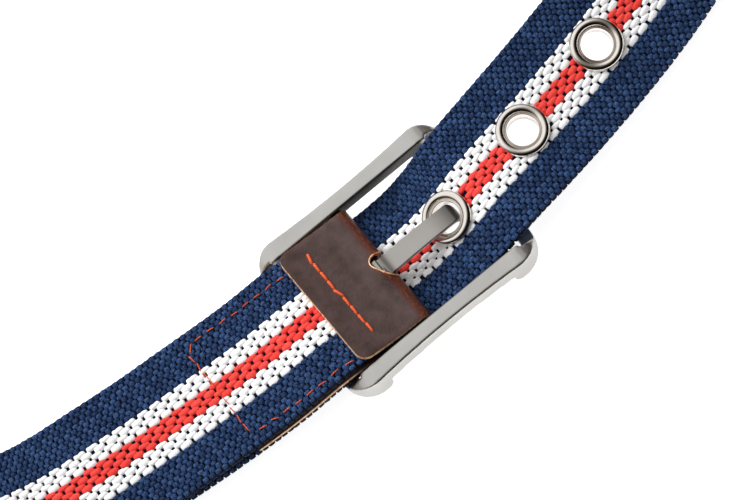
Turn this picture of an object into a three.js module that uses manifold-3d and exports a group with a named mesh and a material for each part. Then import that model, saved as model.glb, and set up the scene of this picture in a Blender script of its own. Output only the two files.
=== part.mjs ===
// Canvas web belt, fastened: a striped woven strap through a centre-bar buckle with one prong.
// Millimetres, +Z up. The buckle lies face up on the floor, its long axis along X and its centre bar
// along Y. The strap leaves it to both sides, turns over onto its edge and closes the loop behind, at +Y.
import * as THREE from "three";
import Module from "manifold-3d";
import { mergeVertices } from "three/addons/utils/BufferGeometryUtils.js";

const wasm = await Module();
wasm.setup();

// Clearance between neighbouring pieces, extra room where layers bend together or slide under the bar,
// room between the strap's edges and the frame's rails, and the height of the lowest strap over the floor
const GAP = 0.3;
const STRAP_ROOM = 0.45;
const STRAP_SIDE_ROOM = 1.4;
const FLOOR_GAP = 0.3;

// Woven strap
const WEB_WIDTH = 39;
const WEB_THICK = 2.6;
const WEB_EDGE_ROUND = 0.8;

// Closed loop that the strap makes: reach to each side in X and depth behind the buckle in Y
const LOOP_REACH = 225;
const LOOP_DEPTH = 205;

// Buckle frame, one casting as wide as its strap asks: two rails, two low end bars, a round centre bar
const FRAME_LENGTH = 66.8;
const FRAME_HEIGHT = 9.6;
const FRAME_CORNER = 8.5;
const RAIL_WIDTH = 5.6;
const RAIL_THICK = 5.4;
const RAIL_WAIST = 0.9;
const END_BAR_WIDTH = 4.5;
const END_BAR_HEIGHT = 4.0;
const FOOT_LENGTH = 11.5;
const END_DROP_LENGTH = 8.6;
const END_DROP_HEIGHT = 4.9;
const CHANNEL_FLARE = 1.2;
const CHANNEL_ROUND = 1;
const OPENING_CORNER = 1.6;
const BEVEL = 0.6;
const BAR_RADIUS = 1.3;
const BAR_OFFSET = -5.2;

// Leather tab that folds round the centre bar and takes the end of the strap between its flaps
const LEATHER_THICK = 1.25;
const TAB_OVERHANG = 0.5;
const TAB_EDGE_ROUND = 0.25;
const TOP_FLAP = 21;
const BOTTOM_FLAP = 55.8;
const FOLD_REACH = 4.2;
const TAB_CORNER = 2.6;
const SLOT_WIDTH = 8.8;
const SLOT_SIDE = -0.8;
const SLOT_DEPTH = 3;
const SLOT_ROUND = 2.7;

// Prong, a flat strip bent round the centre bar, that stops short of the right end bar
const PRONG_WIDTH = 6;
const PRONG_THICK = 1.4;
const PRONG_SIDE = -1.3;
const PRONG_END_ROOM = 7.4;
const PRONG_DROP = 4.2;
const PRONG_TIP_RUN = 2.6;
const PRONG_TIP_ROUND = 2.4;
const PRONG_ROOT_FLARE = 0.5;
const PRONG_ROOT_ROUND = 2.4;
const PRONG_BEND_RUN = 3.4;
const SEAM_WIDTH = 0.3;
const SEAM_DEPTH = 0.8;

// Eyelets: a domed front with its barrel, and a flat washer on the back of the strap. The prong's knee
// lies a little off the middle of the first one.
const EYELET_COUNT = 4;
const EYELET_FROM_KNEE = 0.4;
const EYELET_PITCH = 31.8;
const EYELET_RADIUS = 7.7;
const EYELET_DOME = 1.15;
const HOLE_RADIUS = 4.45;
const BARREL_WALL = 0.55;
const LIP_GROOVE = 0.35;
const WASHER_THICK = 0.5;
const BACK_ROLL = 0.6;
const EYELET_SIDES = 28;

// Levels and places that follow from the sizes above
const halfWeb = WEB_WIDTH / 2;
const halfThick = WEB_THICK / 2;
const halfFrame = FRAME_LENGTH / 2;
const frameWidth = WEB_WIDTH + 2 * (STRAP_SIDE_ROOM + RAIL_WIDTH);
const tabWidth = WEB_WIDTH + 2 * TAB_OVERHANG;
const lowLevel = FLOOR_GAP + halfThick;
const barLevel = lowLevel + halfThick + STRAP_ROOM + GAP + PRONG_THICK + BAR_RADIUS;
const wrapRadius = BAR_RADIUS + GAP + LEATHER_THICK / 2;
const barrelRadius = HOLE_RADIUS + BARREL_WALL;
const flapStep = halfThick + GAP + LEATHER_THICK / 2;
const prongReach = halfFrame - END_BAR_WIDTH - PRONG_END_ROOM - BAR_OFFSET;
const prongKnee = prongReach - PRONG_TIP_RUN;

// Stretch of the strap from its tip to where the buckle's left end bar lifts it. Columns: x in half
// frame lengths, y in strap widths, lean in degrees, lift in end bar heights.
const TIP_ROWS = [
  { x: -3.3, y: 0.182, lean: 7, lift: 0.08 },
  { x: -3.08, y: 0.154, lean: 6.5, lift: 0.1 },
  { x: -2.57, y: 0.102, lean: 5.5, lift: 0.06 },
  { x: -2.1, y: 0.061, lean: 4.5, lift: 0.08 },
  { x: -1.62, y: 0.028, lean: 3.5, lift: 0.14 },
  { x: -1.26, y: 0.005, lean: 1.5, lift: 0.62 },
  { x: -0.93, y: -0.01, lean: 0, lift: 1.38 },
  { x: -0.61, y: -0.022, lean: 0, lift: 0.4 },
];

// Stretch under the centre bar, up over the right end bar and away. Same columns.
const RIGHT_ROWS = [
  { x: -0.36, y: -0.02, lean: 0, lift: 0.03 },
  { x: -0.12, y: -0.023, lean: 0, lift: 0 },
  { x: 0.09, y: -0.023, lean: 0, lift: 0 },
  { x: 0.225, y: -0.023, lean: 0, lift: 0.04 },
  { x: 0.33, y: -0.026, lean: 0, lift: 0.33 },
  { x: 0.524, y: -0.027, lean: 0, lift: 0.95 },
  { x: 0.72, y: -0.016, lean: 0, lift: 1.56 },
  { x: 0.87, y: 0.006, lean: 1.5, lift: 1.78 },
  { x: 1.11, y: 0.044, lean: 4.5, lift: 1.43 },
  { x: 1.41, y: 0.088, lean: 8.5, lift: 0.97 },
  { x: 1.77, y: 0.143, lean: 11.5, lift: 0.65 },
  { x: 2.19, y: 0.21, lean: 14, lift: 0.45 },
  { x: 2.69, y: 0.3, lean: 17, lift: 0.3 },
  { x: 3.29, y: 0.428, lean: 23, lift: 0.15 },
];

// Way round behind. Columns: x in reaches of the loop, y in depths of the loop, lean in degrees.
const LOOP_ROWS = [
  { x: 0.6, y: 0.125, lean: 38 },
  { x: 0.74, y: 0.205, lean: 64 },
  { x: 0.87, y: 0.33, lean: 86 },
  { x: 0.925, y: 0.5, lean: 90 },
  { x: 0.87, y: 0.69, lean: 90 },
  { x: 0.68, y: 0.85, lean: 90 },
  { x: 0.4, y: 0.94, lean: 90 },
  { x: 0.09, y: 0.975, lean: 90 },
  { x: -0.24, y: 0.965, lean: 90 },
  { x: -0.55, y: 0.9, lean: 90 },
  { x: -0.81, y: 0.77, lean: 90 },
  { x: -0.96, y: 0.58, lean: 90 },
  { x: -0.98, y: 0.385, lean: 88 },
  { x: -0.885, y: 0.215, lean: 64 },
  { x: -0.745, y: 0.118, lean: 34 },
  { x: -0.625, y: 0.071, lean: 15 },
];

const radians = (degrees) => (degrees * Math.PI) / 180;

// Height of the strap's middle when its lower edge stands on the floor at a lean
function standing(lean) {
  return FLOOR_GAP + halfWeb * Math.sin(radians(lean)) + halfThick * Math.cos(radians(lean));
}

// Control point near the buckle, from a row in frame lengths and strap widths
function nearPoint(row) {
  const z = standing(row.lean) + row.lift * END_BAR_HEIGHT;
  return { x: row.x * halfFrame, y: row.y * WEB_WIDTH, z, lean: row.lean };
}

// Control point on the way round, from a row in shares of the loop
function loopPoint(row) {
  return { x: row.x * LOOP_REACH, y: row.y * LOOP_DEPTH, z: standing(row.lean), lean: row.lean };
}

// Same place one layer up: over the bare strap, or over the strap and the leather's bottom flap. The
// step fades over easeRun, which starts one easeRun beyond the flap's end.
function upperPoint(row) {
  const point = nearPoint(row);
  const easeRun = 0.3 * WEB_WIDTH;
  const beyond = (BAR_OFFSET - BOTTOM_FLAP - point.x) / easeRun;
  const onFlap = THREE.MathUtils.clamp(2 - beyond, 0, 1);
  const step = WEB_THICK + GAP + STRAP_ROOM + onFlap * (LEATHER_THICK + GAP);
  return { ...point, z: point.z + step };
}

// Control point where the way round comes back over the strap's tip, a little beyond it
function returnPoint() {
  const tip = nearPoint(TIP_ROWS[0]);
  const stepShare = 0.7;
  return { ...tip, x: 1.09 * tip.x, y: 1.15 * tip.y, z: tip.z + stepShare * (WEB_THICK + GAP) };
}

// Control points down from the left end bar to the centre bar's level, between the leather's flaps.
// Columns: x in radii of the fold from the bar.
function endPoints() {
  const level = [{ x: -2.2 }, { x: -1.5 }, { x: -0.8 }].map((row) => ({
    x: BAR_OFFSET + row.x * wrapRadius,
    y: 0,
    z: barLevel,
    lean: 0,
  }));
  const riseShare = 0.42;
  const easeShare = 0.25;
  const rise = { ...level[0], x: TIP_ROWS.at(-1).x * halfFrame, z: barLevel + riseShare * END_BAR_HEIGHT };
  const ease = { ...level[0], x: (rise.x + level[0].x) / 2, z: barLevel + easeShare * END_BAR_HEIGHT };
  return [rise, ease, ...level];
}

// Control points of the strap's middle line, from the tip to the end in the leather
function strapPoints() {
  const under = TIP_ROWS.map(nearPoint);
  const right = RIGHT_ROWS.map(nearPoint);
  const round = LOOP_ROWS.map(loopPoint);
  const over = TIP_ROWS.slice(1, -1).map(upperPoint);
  return [...under, ...right, ...round, returnPoint(), ...over, ...endPoints()];
}

// Uniform cubic B-spline through the field named key, at share u of the span after points[i]
function blend(points, i, u, key) {
  const v = 1 - u;
  const a = (v * v * v) / 6;
  const b = (3 * u * u * u - 6 * u * u + 4) / 6;
  const c = (-3 * u * u * u + 3 * u * u + 3 * u + 1) / 6;
  const d = (u * u * u) / 6;
  return a * points[i][key] + b * points[i + 1][key] + c * points[i + 2][key] + d * points[i + 3][key];
}

// The strap's middle line as close samples, each with its running length
function samplePath() {
  const points = strapPoints();
  const samples = [];
  const perSpan = 24;
  for (let i = 0; i + 3 < points.length; i++) {
    const last = i + 4 === points.length;
    for (let k = 0; k < perSpan + (last ? 1 : 0); k++) {
      const u = k / perSpan;
      const place = new THREE.Vector3(...["x", "y", "z"].map((key) => blend(points, i, u, key)));
      const before = samples[samples.length - 1];
      const run = before ? before.run + place.distanceTo(before.place) : 0;
      samples.push({ place, lean: blend(points, i, u, "lean"), run });
    }
  }
  return samples;
}

const path = samplePath();
const strapLength = path[path.length - 1].run;

// Place and lean at a running length, by straight interpolation between samples
function pathAt(run) {
  let low = 0;
  let high = path.length - 1;
  while (high - low > 1) {
    const middle = (low + high) >> 1;
    if (path[middle].run <= run) {
      low = middle;
    } else {
      high = middle;
    }
  }
  const share = (run - path[low].run) / (path[high].run - path[low].run);
  const place = path[low].place.clone().lerp(path[high].place, share);
  return { place, lean: path[low].lean + share * (path[high].lean - path[low].lean) };
}

// Frame of the strap at a running length: along, left edge and outer face
function frameAt(run) {
  const { place, lean } = pathAt(run);
  const step = WEB_THICK / 4;
  const along = pathAt(run + step).place.sub(pathAt(run - step).place).normalize();
  const side = new THREE.Vector3(-along.y, along.x, 0).normalize();
  const up = along.clone().cross(side);
  const angle = radians(lean);
  const across = side.clone().multiplyScalar(Math.cos(angle)).addScaledVector(up, Math.sin(angle));
  const out = up.clone().multiplyScalar(Math.cos(angle)).addScaledVector(side, -Math.sin(angle));
  return { place, along, across, out };
}

// Running length at which the middle line crosses x, looked for in one half of the strap
function runAtX(x, firstHalf) {
  const part = path.filter((sample) => (sample.run < strapLength / 2) === firstHalf);
  const index = part.findIndex((sample, i) => {
    const next = part[i + 1];
    return next && sample.place.x <= x && next.place.x > x && sample.place.y < LOOP_DEPTH / 4;
  });
  return part[index].run;
}

// Closed solid from rings of equal length, the ends fanned flat
function loft(rings) {
  const count = rings[0].length;
  const positions = rings.flat().flatMap((p) => [p.x, p.y, p.z]);
  const indices = [];
  for (let i = 0; i + 1 < rings.length; i++) {
    for (let k = 0; k < count; k++) {
      const a = i * count + k;
      const b = i * count + ((k + 1) % count);
      indices.push(a, b, b + count, a, b + count, a + count);
    }
  }
  const top = (rings.length - 1) * count;
  for (let k = 1; k + 1 < count; k++) {
    indices.push(0, k + 1, k);
    indices.push(top, top + k, top + k + 1);
  }
  const geometry = new THREE.BufferGeometry();
  geometry.setAttribute("position", new THREE.Float32BufferAttribute(positions, 3));
  geometry.setIndex(indices);
  return geometry;
}

// Geometry to solid and back, for joins and cuts
function solid(geometry) {
  const bare = geometry.clone();
  bare.deleteAttribute("normal");
  bare.deleteAttribute("uv");
  const merged = mergeVertices(bare, 1e-4);
  return new wasm.Manifold(
    new wasm.Mesh({
      numProp: 3,
      vertProperties: new Float32Array(merged.attributes.position.array),
      triVerts: new Uint32Array(merged.index.array),
    }),
  );
}

function surface(body) {
  const mesh = body.getMesh();
  const geometry = new THREE.BufferGeometry();
  const positions = Float32Array.from(mesh.vertProperties);
  geometry.setAttribute("position", new THREE.Float32BufferAttribute(positions, 3));
  geometry.setIndex(Array.from(mesh.triVerts));
  return geometry;
}

// Section of a flat strip with rounded edges, seen along it, as offsets across and out
function stripSection(width, thick, round) {
  const w = width / 2;
  const t = thick / 2;
  return [
    [w, t - round],
    [w - round, t],
    [-w + round, t],
    [-w, t - round],
    [-w, -t + round],
    [-w + round, -t],
    [w - round, -t],
    [w, -t + round],
  ];
}

function ringFrom(section, frame, lift = 0) {
  return section.map(([across, out]) =>
    frame.place.clone().addScaledVector(frame.across, across).addScaledVector(frame.out, out + lift),
  );
}

// Running lengths of the strap's stations: close near the buckle, wide on the way round
function stations() {
  const near = 3;
  const far = 8;
  const reach = 1.25 * halfFrame;
  const runs = [0];
  while (runs[runs.length - 1] < strapLength) {
    const { place } = pathAt(runs[runs.length - 1]);
    const close = Math.abs(place.x) < reach && place.y < WEB_WIDTH;
    runs.push(runs[runs.length - 1] + (close ? near : far));
  }
  runs[runs.length - 1] = strapLength;
  return runs;
}

const firstEyelet = runAtX(BAR_OFFSET + prongKnee - EYELET_FROM_KNEE, true);
const eyeletRuns = Array.from({ length: EYELET_COUNT }, (_, i) => firstEyelet + i * EYELET_PITCH);

// Puts a shape made round +Z onto the strap's outer face at a running length
function placeOnStrap(object, run) {
  const frame = frameAt(run);
  const basis = new THREE.Matrix4().makeBasis(frame.along, frame.across, frame.out);
  object.quaternion.setFromRotationMatrix(basis);
  object.position.copy(frame.place);
  return object;
}

function webGeometry() {
  const section = stripSection(WEB_WIDTH, WEB_THICK, WEB_EDGE_ROUND);
  let body = solid(loft(stations().map((run) => ringFrom(section, frameAt(run)))));
  const radius = barrelRadius + GAP;
  for (const run of eyeletRuns) {
    const punch = new THREE.CylinderGeometry(radius, radius, 3 * WEB_THICK, EYELET_SIDES);
    punch.rotateX(Math.PI / 2);
    const holder = placeOnStrap(new THREE.Object3D(), run);
    holder.updateMatrix();
    punch.applyMatrix4(holder.matrix);
    body = body.subtract(solid(punch));
  }
  return surface(body);
}

// Front of an eyelet: domed flange, inner lip, barrel and the roll that holds the washer
function eyeletGeometry() {
  const face = halfThick + GAP;
  const back = -halfThick - GAP - WASHER_THICK - GAP;
  const rim = EYELET_RADIUS;
  const groove = barrelRadius + LIP_GROOVE;
  const profile = [
    [HOLE_RADIUS, back - BACK_ROLL],
    [barrelRadius + BACK_ROLL, back - BACK_ROLL],
    [barrelRadius + BACK_ROLL, back],
    [barrelRadius, back],
    [barrelRadius, face],
    [rim, face],
    [rim - 0.02 * rim, face + 0.45 * EYELET_DOME],
    [rim - 0.09 * rim, face + EYELET_DOME],
    [rim - 0.17 * rim, face + EYELET_DOME],
    [groove, face + 0.5 * EYELET_DOME],
    [barrelRadius, face + 0.7 * EYELET_DOME],
    [HOLE_RADIUS, face + 0.45 * EYELET_DOME],
    [HOLE_RADIUS, back - BACK_ROLL],
  ];
  const points = profile.map(([radius, height]) => new THREE.Vector2(radius, height));
  return new THREE.LatheGeometry(points, EYELET_SIDES).rotateX(Math.PI / 2);
}

function washerGeometry() {
  const top = -halfThick - GAP;
  const inner = barrelRadius + GAP;
  const profile = [
    [inner, top - WASHER_THICK],
    [EYELET_RADIUS, top - WASHER_THICK],
    [EYELET_RADIUS, top],
    [inner, top],
    [inner, top - WASHER_THICK],
  ];
  const points = profile.map(([radius, height]) => new THREE.Vector2(radius, height));
  return new THREE.LatheGeometry(points, EYELET_SIDES).rotateX(Math.PI / 2);
}

// Rounded rectangle in a plane, its long sides drawn in by waist at the middle
function roundedShape(halfLong, halfShort, corner, waist = 0) {
  const shape = new THREE.Shape();
  shape.moveTo(-halfLong + corner, -halfShort);
  shape.quadraticCurveTo(0, -halfShort + 2 * waist, halfLong - corner, -halfShort);
  shape.absarc(halfLong - corner, -halfShort + corner, corner, -Math.PI / 2, 0, false);
  shape.lineTo(halfLong, halfShort - corner);
  shape.absarc(halfLong - corner, halfShort - corner, corner, 0, Math.PI / 2, false);
  shape.quadraticCurveTo(0, halfShort - 2 * waist, -halfLong + corner, halfShort);
  shape.absarc(-halfLong + corner, halfShort - corner, corner, Math.PI / 2, Math.PI, false);
  shape.lineTo(-halfLong, -halfShort + corner);
  shape.absarc(-halfLong + corner, -halfShort + corner, corner, Math.PI, 1.5 * Math.PI, false);
  return shape;
}

// Side view of the frame: level top, rounded ends, a raised underside between two feet
function sideShape() {
  const flat = halfFrame - END_DROP_LENGTH;
  const inner = halfFrame - FOOT_LENGTH;
  const under = FRAME_HEIGHT - RAIL_THICK;
  const fillet = 0.3 * under;
  const shape = new THREE.Shape();
  shape.moveTo(-halfFrame, 0);
  shape.lineTo(-inner - fillet, 0);
  shape.lineTo(-inner, fillet);
  shape.lineTo(-inner, under - fillet);
  shape.quadraticCurveTo(-inner, under, -inner + fillet, under);
  shape.lineTo(inner - fillet, under);
  shape.quadraticCurveTo(inner, under, inner, under - fillet);
  shape.lineTo(inner, fillet);
  shape.lineTo(inner + fillet, 0);
  shape.lineTo(halfFrame, 0);
  const endTop = FRAME_HEIGHT - END_DROP_HEIGHT;
  const slope = halfFrame - 0.4 * END_DROP_LENGTH;
  shape.lineTo(halfFrame, endTop);
  shape.quadraticCurveTo(slope, FRAME_HEIGHT, flat, FRAME_HEIGHT);
  shape.lineTo(-flat, FRAME_HEIGHT);
  shape.quadraticCurveTo(-slope, FRAME_HEIGHT, -halfFrame, endTop);
  return shape;
}

// End view of the space over an end bar, where the strap passes: flat floor, sides that flare upward
function channelShape() {
  const inner = frameWidth / 2 - RAIL_WIDTH;
  const round = CHANNEL_ROUND;
  const floor = END_BAR_HEIGHT;
  const above = FRAME_HEIGHT + BEVEL;
  const wall = inner + 0.3 * round;
  const shape = new THREE.Shape();
  shape.moveTo(-inner + round, floor);
  shape.lineTo(inner - round, floor);
  shape.quadraticCurveTo(inner, floor, wall, floor + round);
  shape.lineTo(inner + CHANNEL_FLARE, above);
  shape.lineTo(-inner - CHANNEL_FLARE, above);
  shape.lineTo(-wall, floor + round);
  shape.quadraticCurveTo(-inner, floor, -inner + round, floor);
  return shape;
}

// Shape in the XZ plane drawn out along Y, or in the XY plane drawn out along Z, over a span of places
function prism(shape, from, to, curveSegments) {
  const options = { depth: to - from, bevelEnabled: false, curveSegments };
  return new THREE.ExtrudeGeometry(shape, options).translate(0, 0, from);
}

function frameGeometry() {
  const halfWide = frameWidth / 2;
  const plan = roundedShape(halfFrame - BEVEL, halfWide - BEVEL, FRAME_CORNER - BEVEL, RAIL_WAIST);
  const block = new THREE.ExtrudeGeometry(plan, {
    depth: FRAME_HEIGHT,
    curveSegments: 8,
    bevelSize: BEVEL,
    bevelThickness: BEVEL,
    bevelSegments: 2,
  }).translate(0, 0, -BEVEL);
  const side = prism(sideShape(), -frameWidth, frameWidth, 6).rotateX(Math.PI / 2);
  const opening = roundedShape(halfFrame - END_BAR_WIDTH, halfWide - RAIL_WIDTH, OPENING_CORNER);
  const hole = prism(opening, -FRAME_HEIGHT, 2 * FRAME_HEIGHT, 4);
  const channelStart = halfFrame - END_BAR_WIDTH - CHANNEL_ROUND;
  const channel = prism(channelShape(), channelStart, halfFrame + FRAME_CORNER, 5)
    .rotateX(Math.PI / 2)
    .rotateZ(Math.PI / 2);
  const otherChannel = channel.clone().rotateZ(Math.PI);
  const barLength = frameWidth - 1.2 * RAIL_WIDTH;
  const bar = new THREE.CylinderGeometry(BAR_RADIUS, BAR_RADIUS, barLength, 20);
  bar.translate(BAR_OFFSET, 0, barLevel);
  return surface(
    solid(block)
      .intersect(solid(side))
      .subtract(solid(hole))
      .subtract(solid(channel))
      .subtract(solid(otherChannel))
      .add(solid(bar)),
  );
}

// Evenly spaced values over a span, both ends with it
function spread(from, to, steps) {
  return Array.from({ length: steps + 1 }, (_, i) => from + ((to - from) * i) / steps);
}

// Stations of the leather: along the bottom flap, round the centre bar and along the top flap.
// Each is a frame whose out direction points away from the strap's end.
function tabFrames() {
  const flap = (x, sign) => {
    const { place, across, out } = frameAt(runAtX(x, false));
    const away = out.clone().multiplyScalar(sign);
    const middle = place.clone().addScaledVector(away, flapStep);
    return { place: middle, across: across.clone().negate(), out: away };
  };
  const fold = (angle) => {
    const out = new THREE.Vector3(Math.cos(angle), 0, Math.sin(angle));
    const place = new THREE.Vector3(BAR_OFFSET, 0, barLevel).addScaledVector(out, wrapRadius);
    return { place, across: new THREE.Vector3(0, -1, 0), out };
  };
  const turn = BAR_OFFSET - wrapRadius - FOLD_REACH;
  const below = spread(BAR_OFFSET - BOTTOM_FLAP, turn, 16).map((x) => flap(x, -1));
  const bend = spread(-Math.PI / 2, Math.PI / 2, 12).map(fold);
  const above = spread(turn, BAR_OFFSET - TOP_FLAP, 7).map((x) => flap(x, 1));
  return [...below, ...bend, ...above];
}

// Draws the leather's side in by the round of the top flap's corners
function cornerCut(fromEnd) {
  if (fromEnd >= TAB_CORNER) return 0;
  return TAB_CORNER - Math.sqrt(TAB_CORNER ** 2 - (TAB_CORNER - fromEnd) ** 2);
}

function tabGeometry() {
  const frames = tabFrames();
  const topEnd = frames[frames.length - 1].place;
  const rings = frames.map((frame, i) => {
    const onTop = i > frames.length / 2;
    const cut = onTop ? cornerCut(frame.place.distanceTo(topEnd)) : 0;
    return ringFrom(stripSection(tabWidth - 2 * cut, LEATHER_THICK, TAB_EDGE_ROUND), frame);
  });
  const slotReach = SLOT_DEPTH + 4 * wrapRadius;
  const plan = roundedShape(slotReach / 2, SLOT_WIDTH / 2, SLOT_ROUND);
  const slot = prism(plan, -2 * wrapRadius, 2 * wrapRadius, 6);
  slot.translate(BAR_OFFSET - SLOT_DEPTH + slotReach / 2, SLOT_SIDE, barLevel);
  return surface(solid(loft(rings)).subtract(solid(slot)));
}

// Side view of the prong: an eye round the bar, closed at a seam on top, where the arm bends out of
// it, then the level arm, and a tip that turns down into the eyelet
function prongSide() {
  const inner = BAR_RADIUS + GAP;
  const top = inner + PRONG_THICK;
  const root = Math.asin(inner / top);
  const seam = Math.acos(SEAM_WIDTH / top);
  const shape = new THREE.Shape();
  shape.moveTo(prongKnee, top);
  shape.quadraticCurveTo(prongReach, top, prongReach, top - PRONG_DROP);
  shape.lineTo(prongReach - PRONG_THICK, top - PRONG_DROP);
  shape.quadraticCurveTo(prongReach - PRONG_THICK, inner, prongKnee - PRONG_THICK / 3, inner);
  shape.lineTo(top * Math.cos(root), inner);
  shape.absarc(0, 0, top, root, seam - 2 * Math.PI, true);
  shape.lineTo(1.5 * SEAM_WIDTH, top - SEAM_DEPTH);
  shape.quadraticCurveTo(PRONG_BEND_RUN / 3, top, PRONG_BEND_RUN, top);
  const eye = new THREE.Path();
  eye.absarc(0, 0, inner, 0, 2 * Math.PI, false);
  shape.holes.push(eye);
  return shape;
}

// Top view of the prong: its rounded tip, and a root that flares and has its back corners rounded off
function prongPlan() {
  const half = PRONG_WIDTH / 2;
  const wide = half + PRONG_ROOT_FLARE;
  const back = -(BAR_RADIUS + GAP + PRONG_THICK);
  const tipStart = prongReach - PRONG_TIP_ROUND;
  const shape = new THREE.Shape();
  shape.moveTo(back + PRONG_ROOT_ROUND, -wide);
  shape.lineTo(0, -wide);
  shape.quadraticCurveTo(PRONG_BEND_RUN / 2, -half, PRONG_BEND_RUN, -half);
  shape.lineTo(tipStart, -half);
  shape.quadraticCurveTo(prongReach, -half, prongReach, 0);
  shape.quadraticCurveTo(prongReach, half, tipStart, half);
  shape.lineTo(PRONG_BEND_RUN, half);
  shape.quadraticCurveTo(PRONG_BEND_RUN / 2, half, 0, wide);
  shape.lineTo(back + PRONG_ROOT_ROUND, wide);
  shape.quadraticCurveTo(back, wide, back, wide - PRONG_ROOT_ROUND);
  shape.lineTo(back, PRONG_ROOT_ROUND - wide);
  shape.quadraticCurveTo(back, -wide, back + PRONG_ROOT_ROUND, -wide);
  return shape;
}

function prongGeometry() {
  const side = prism(prongSide(), -PRONG_WIDTH, PRONG_WIDTH, 12).rotateX(Math.PI / 2);
  const plan = prism(prongPlan(), -FRAME_HEIGHT, FRAME_HEIGHT, 6);
  return surface(solid(side).intersect(solid(plan))).translate(BAR_OFFSET, PRONG_SIDE, barLevel);
}

function finish(name, color, roughness, metalness) {
  return new THREE.MeshStandardMaterial({ name, color, roughness, metalness });
}

const webFinish = finish("woven_navy", 0x1d3158, 0.9, 0);
const leatherFinish = finish("brown_leather", 0x4a2f2b, 0.6, 0);
const castFinish = finish("satin_zinc", 0xa9a7a3, 0.35, 1);
const steelFinish = finish("satin_steel", 0x9a9896, 0.3, 1);
const nickelFinish = finish("polished_nickel", 0xcfc9c4, 0.15, 1);

function named(name, geometry, material) {
  const mesh = new THREE.Mesh(geometry, material);
  mesh.name = name;
  return mesh;
}

const belt = new THREE.Group();
belt.add(named("web_strap", webGeometry(), webFinish));
belt.add(named("leather_tab", tabGeometry(), leatherFinish));
belt.add(named("buckle_frame", frameGeometry(), castFinish));
belt.add(named("prong", prongGeometry(), steelFinish));
eyeletRuns.forEach((run, i) => {
  belt.add(placeOnStrap(named(`eyelet_${i + 1}`, eyeletGeometry(), nickelFinish), run));
  belt.add(placeOnStrap(named(`eyelet_washer_${i + 1}`, washerGeometry(), nickelFinish), run));
});

// Origin at the middle of the footprint, on the floor
const group = new THREE.Group();
belt.updateMatrixWorld(true);
const box = new THREE.Box3().setFromObject(belt, true);
belt.position.set(-(box.min.x + box.max.x) / 2, -(box.min.y + box.max.y) / 2, -box.min.z);
group.add(belt);

export default group;
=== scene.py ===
"""Looks of a fastened canvas web belt: a striped woven strap, a leather tab, a cast buckle and eyelets.

Lengths in the classes are millimetres in the belt's own frame: the buckle's middle is the origin, +X runs
along the buckle to the holed end of the strap, +Y to the far side of the loop and +Z out of the buckle.
"""

from __future__ import annotations

import logging
import math
from contextlib import contextmanager
from dataclasses import dataclass, field
from enum import Enum
from typing import Callable, Iterator

import bpy
import numpy as np
from mathutils import Matrix, Vector


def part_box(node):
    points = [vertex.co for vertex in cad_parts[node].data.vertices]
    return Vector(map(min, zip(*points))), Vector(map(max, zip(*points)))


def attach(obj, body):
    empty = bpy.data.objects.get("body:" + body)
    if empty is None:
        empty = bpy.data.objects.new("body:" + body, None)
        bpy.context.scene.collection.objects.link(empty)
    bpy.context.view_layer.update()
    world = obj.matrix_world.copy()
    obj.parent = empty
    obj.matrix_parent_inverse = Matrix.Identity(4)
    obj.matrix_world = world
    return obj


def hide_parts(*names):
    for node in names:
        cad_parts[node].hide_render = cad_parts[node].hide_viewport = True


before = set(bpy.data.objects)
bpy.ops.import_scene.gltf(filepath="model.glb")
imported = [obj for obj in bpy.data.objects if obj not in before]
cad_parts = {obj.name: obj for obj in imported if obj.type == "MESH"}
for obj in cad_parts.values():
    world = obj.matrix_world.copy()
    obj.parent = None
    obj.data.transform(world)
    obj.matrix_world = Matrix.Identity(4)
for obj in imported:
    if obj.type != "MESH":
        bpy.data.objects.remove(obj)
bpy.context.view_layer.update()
LOG = logging.getLogger("belt")

MM = 0.001
ARRAY = np.ndarray
TREE = bpy.types.NodeTree
NODE = bpy.types.Node
SOCKET = bpy.types.NodeSocket
PIECE = bpy.types.Object
MATERIAL = bpy.types.Material


class Face(Enum):
    """Side of the strap that a layer of floats lies on."""

    OUTER = 1
    INNER = -1


class Stripe(Enum):
    """Colours of the strap, each with the word that its pieces and its record slot are named by."""

    NAVY = "navy"
    WHITE = "white"
    RED = "red"


def srgb(code: str) -> tuple[float, float, float, float]:
    """Turn an sRGB hex colour into the linear colour that a shader socket takes.

    Args:
        code: Six hex digits, such as "1f3560".

    Returns:
        Linear red, green, blue and an alpha of one.
    """
    parts = [int(code[i : i + 2], 16) / 255 for i in (0, 2, 4)]
    linear = [c / 12.92 if c <= 0.04045 else ((c + 0.055) / 1.055) ** 2.4 for c in parts]
    return (linear[0], linear[1], linear[2], 1.0)


def add_node(tree: TREE, kind: str, settings: dict | None = None, links: dict | None = None) -> NODE:
    """Add one shader node with its settings and links.

    Args:
        tree: Node tree of the material.
        kind: Blender's name of the node type.
        settings: Values by attribute name, or by input name or number where no attribute has it.
        links: Output sockets by the name or number of the input that they go to.

    Returns:
        The new node.
    """
    node = tree.nodes.new(kind)
    for key, value in (settings or {}).items():
        if isinstance(key, str) and hasattr(node, key):
            setattr(node, key, value)
        else:
            node.inputs[key].default_value = value
    for key, socket in (links or {}).items():
        tree.links.new(socket, node.inputs[key])
    return node


def new_material(name: str, constants: dict[str, object]) -> tuple[MATERIAL, TREE, NODE]:
    """Start a node material.

    Args:
        name: The finish's plain name.
        constants: Values of the shader's inputs by name.

    Returns:
        The material, its node tree and its Principled shader.
    """
    material = bpy.data.materials.new(name)
    material.use_nodes = True
    shader = material.node_tree.nodes["Principled BSDF"]
    for key, value in constants.items():
        shader.inputs[key].default_value = value
    return material, material.node_tree, shader


def uv_place(tree: TREE, name: str) -> SOCKET:
    """Read a UV map, whose unit is a millimetre."""
    return add_node(tree, "ShaderNodeUVMap", {"uv_map": name}).outputs[0]


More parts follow.
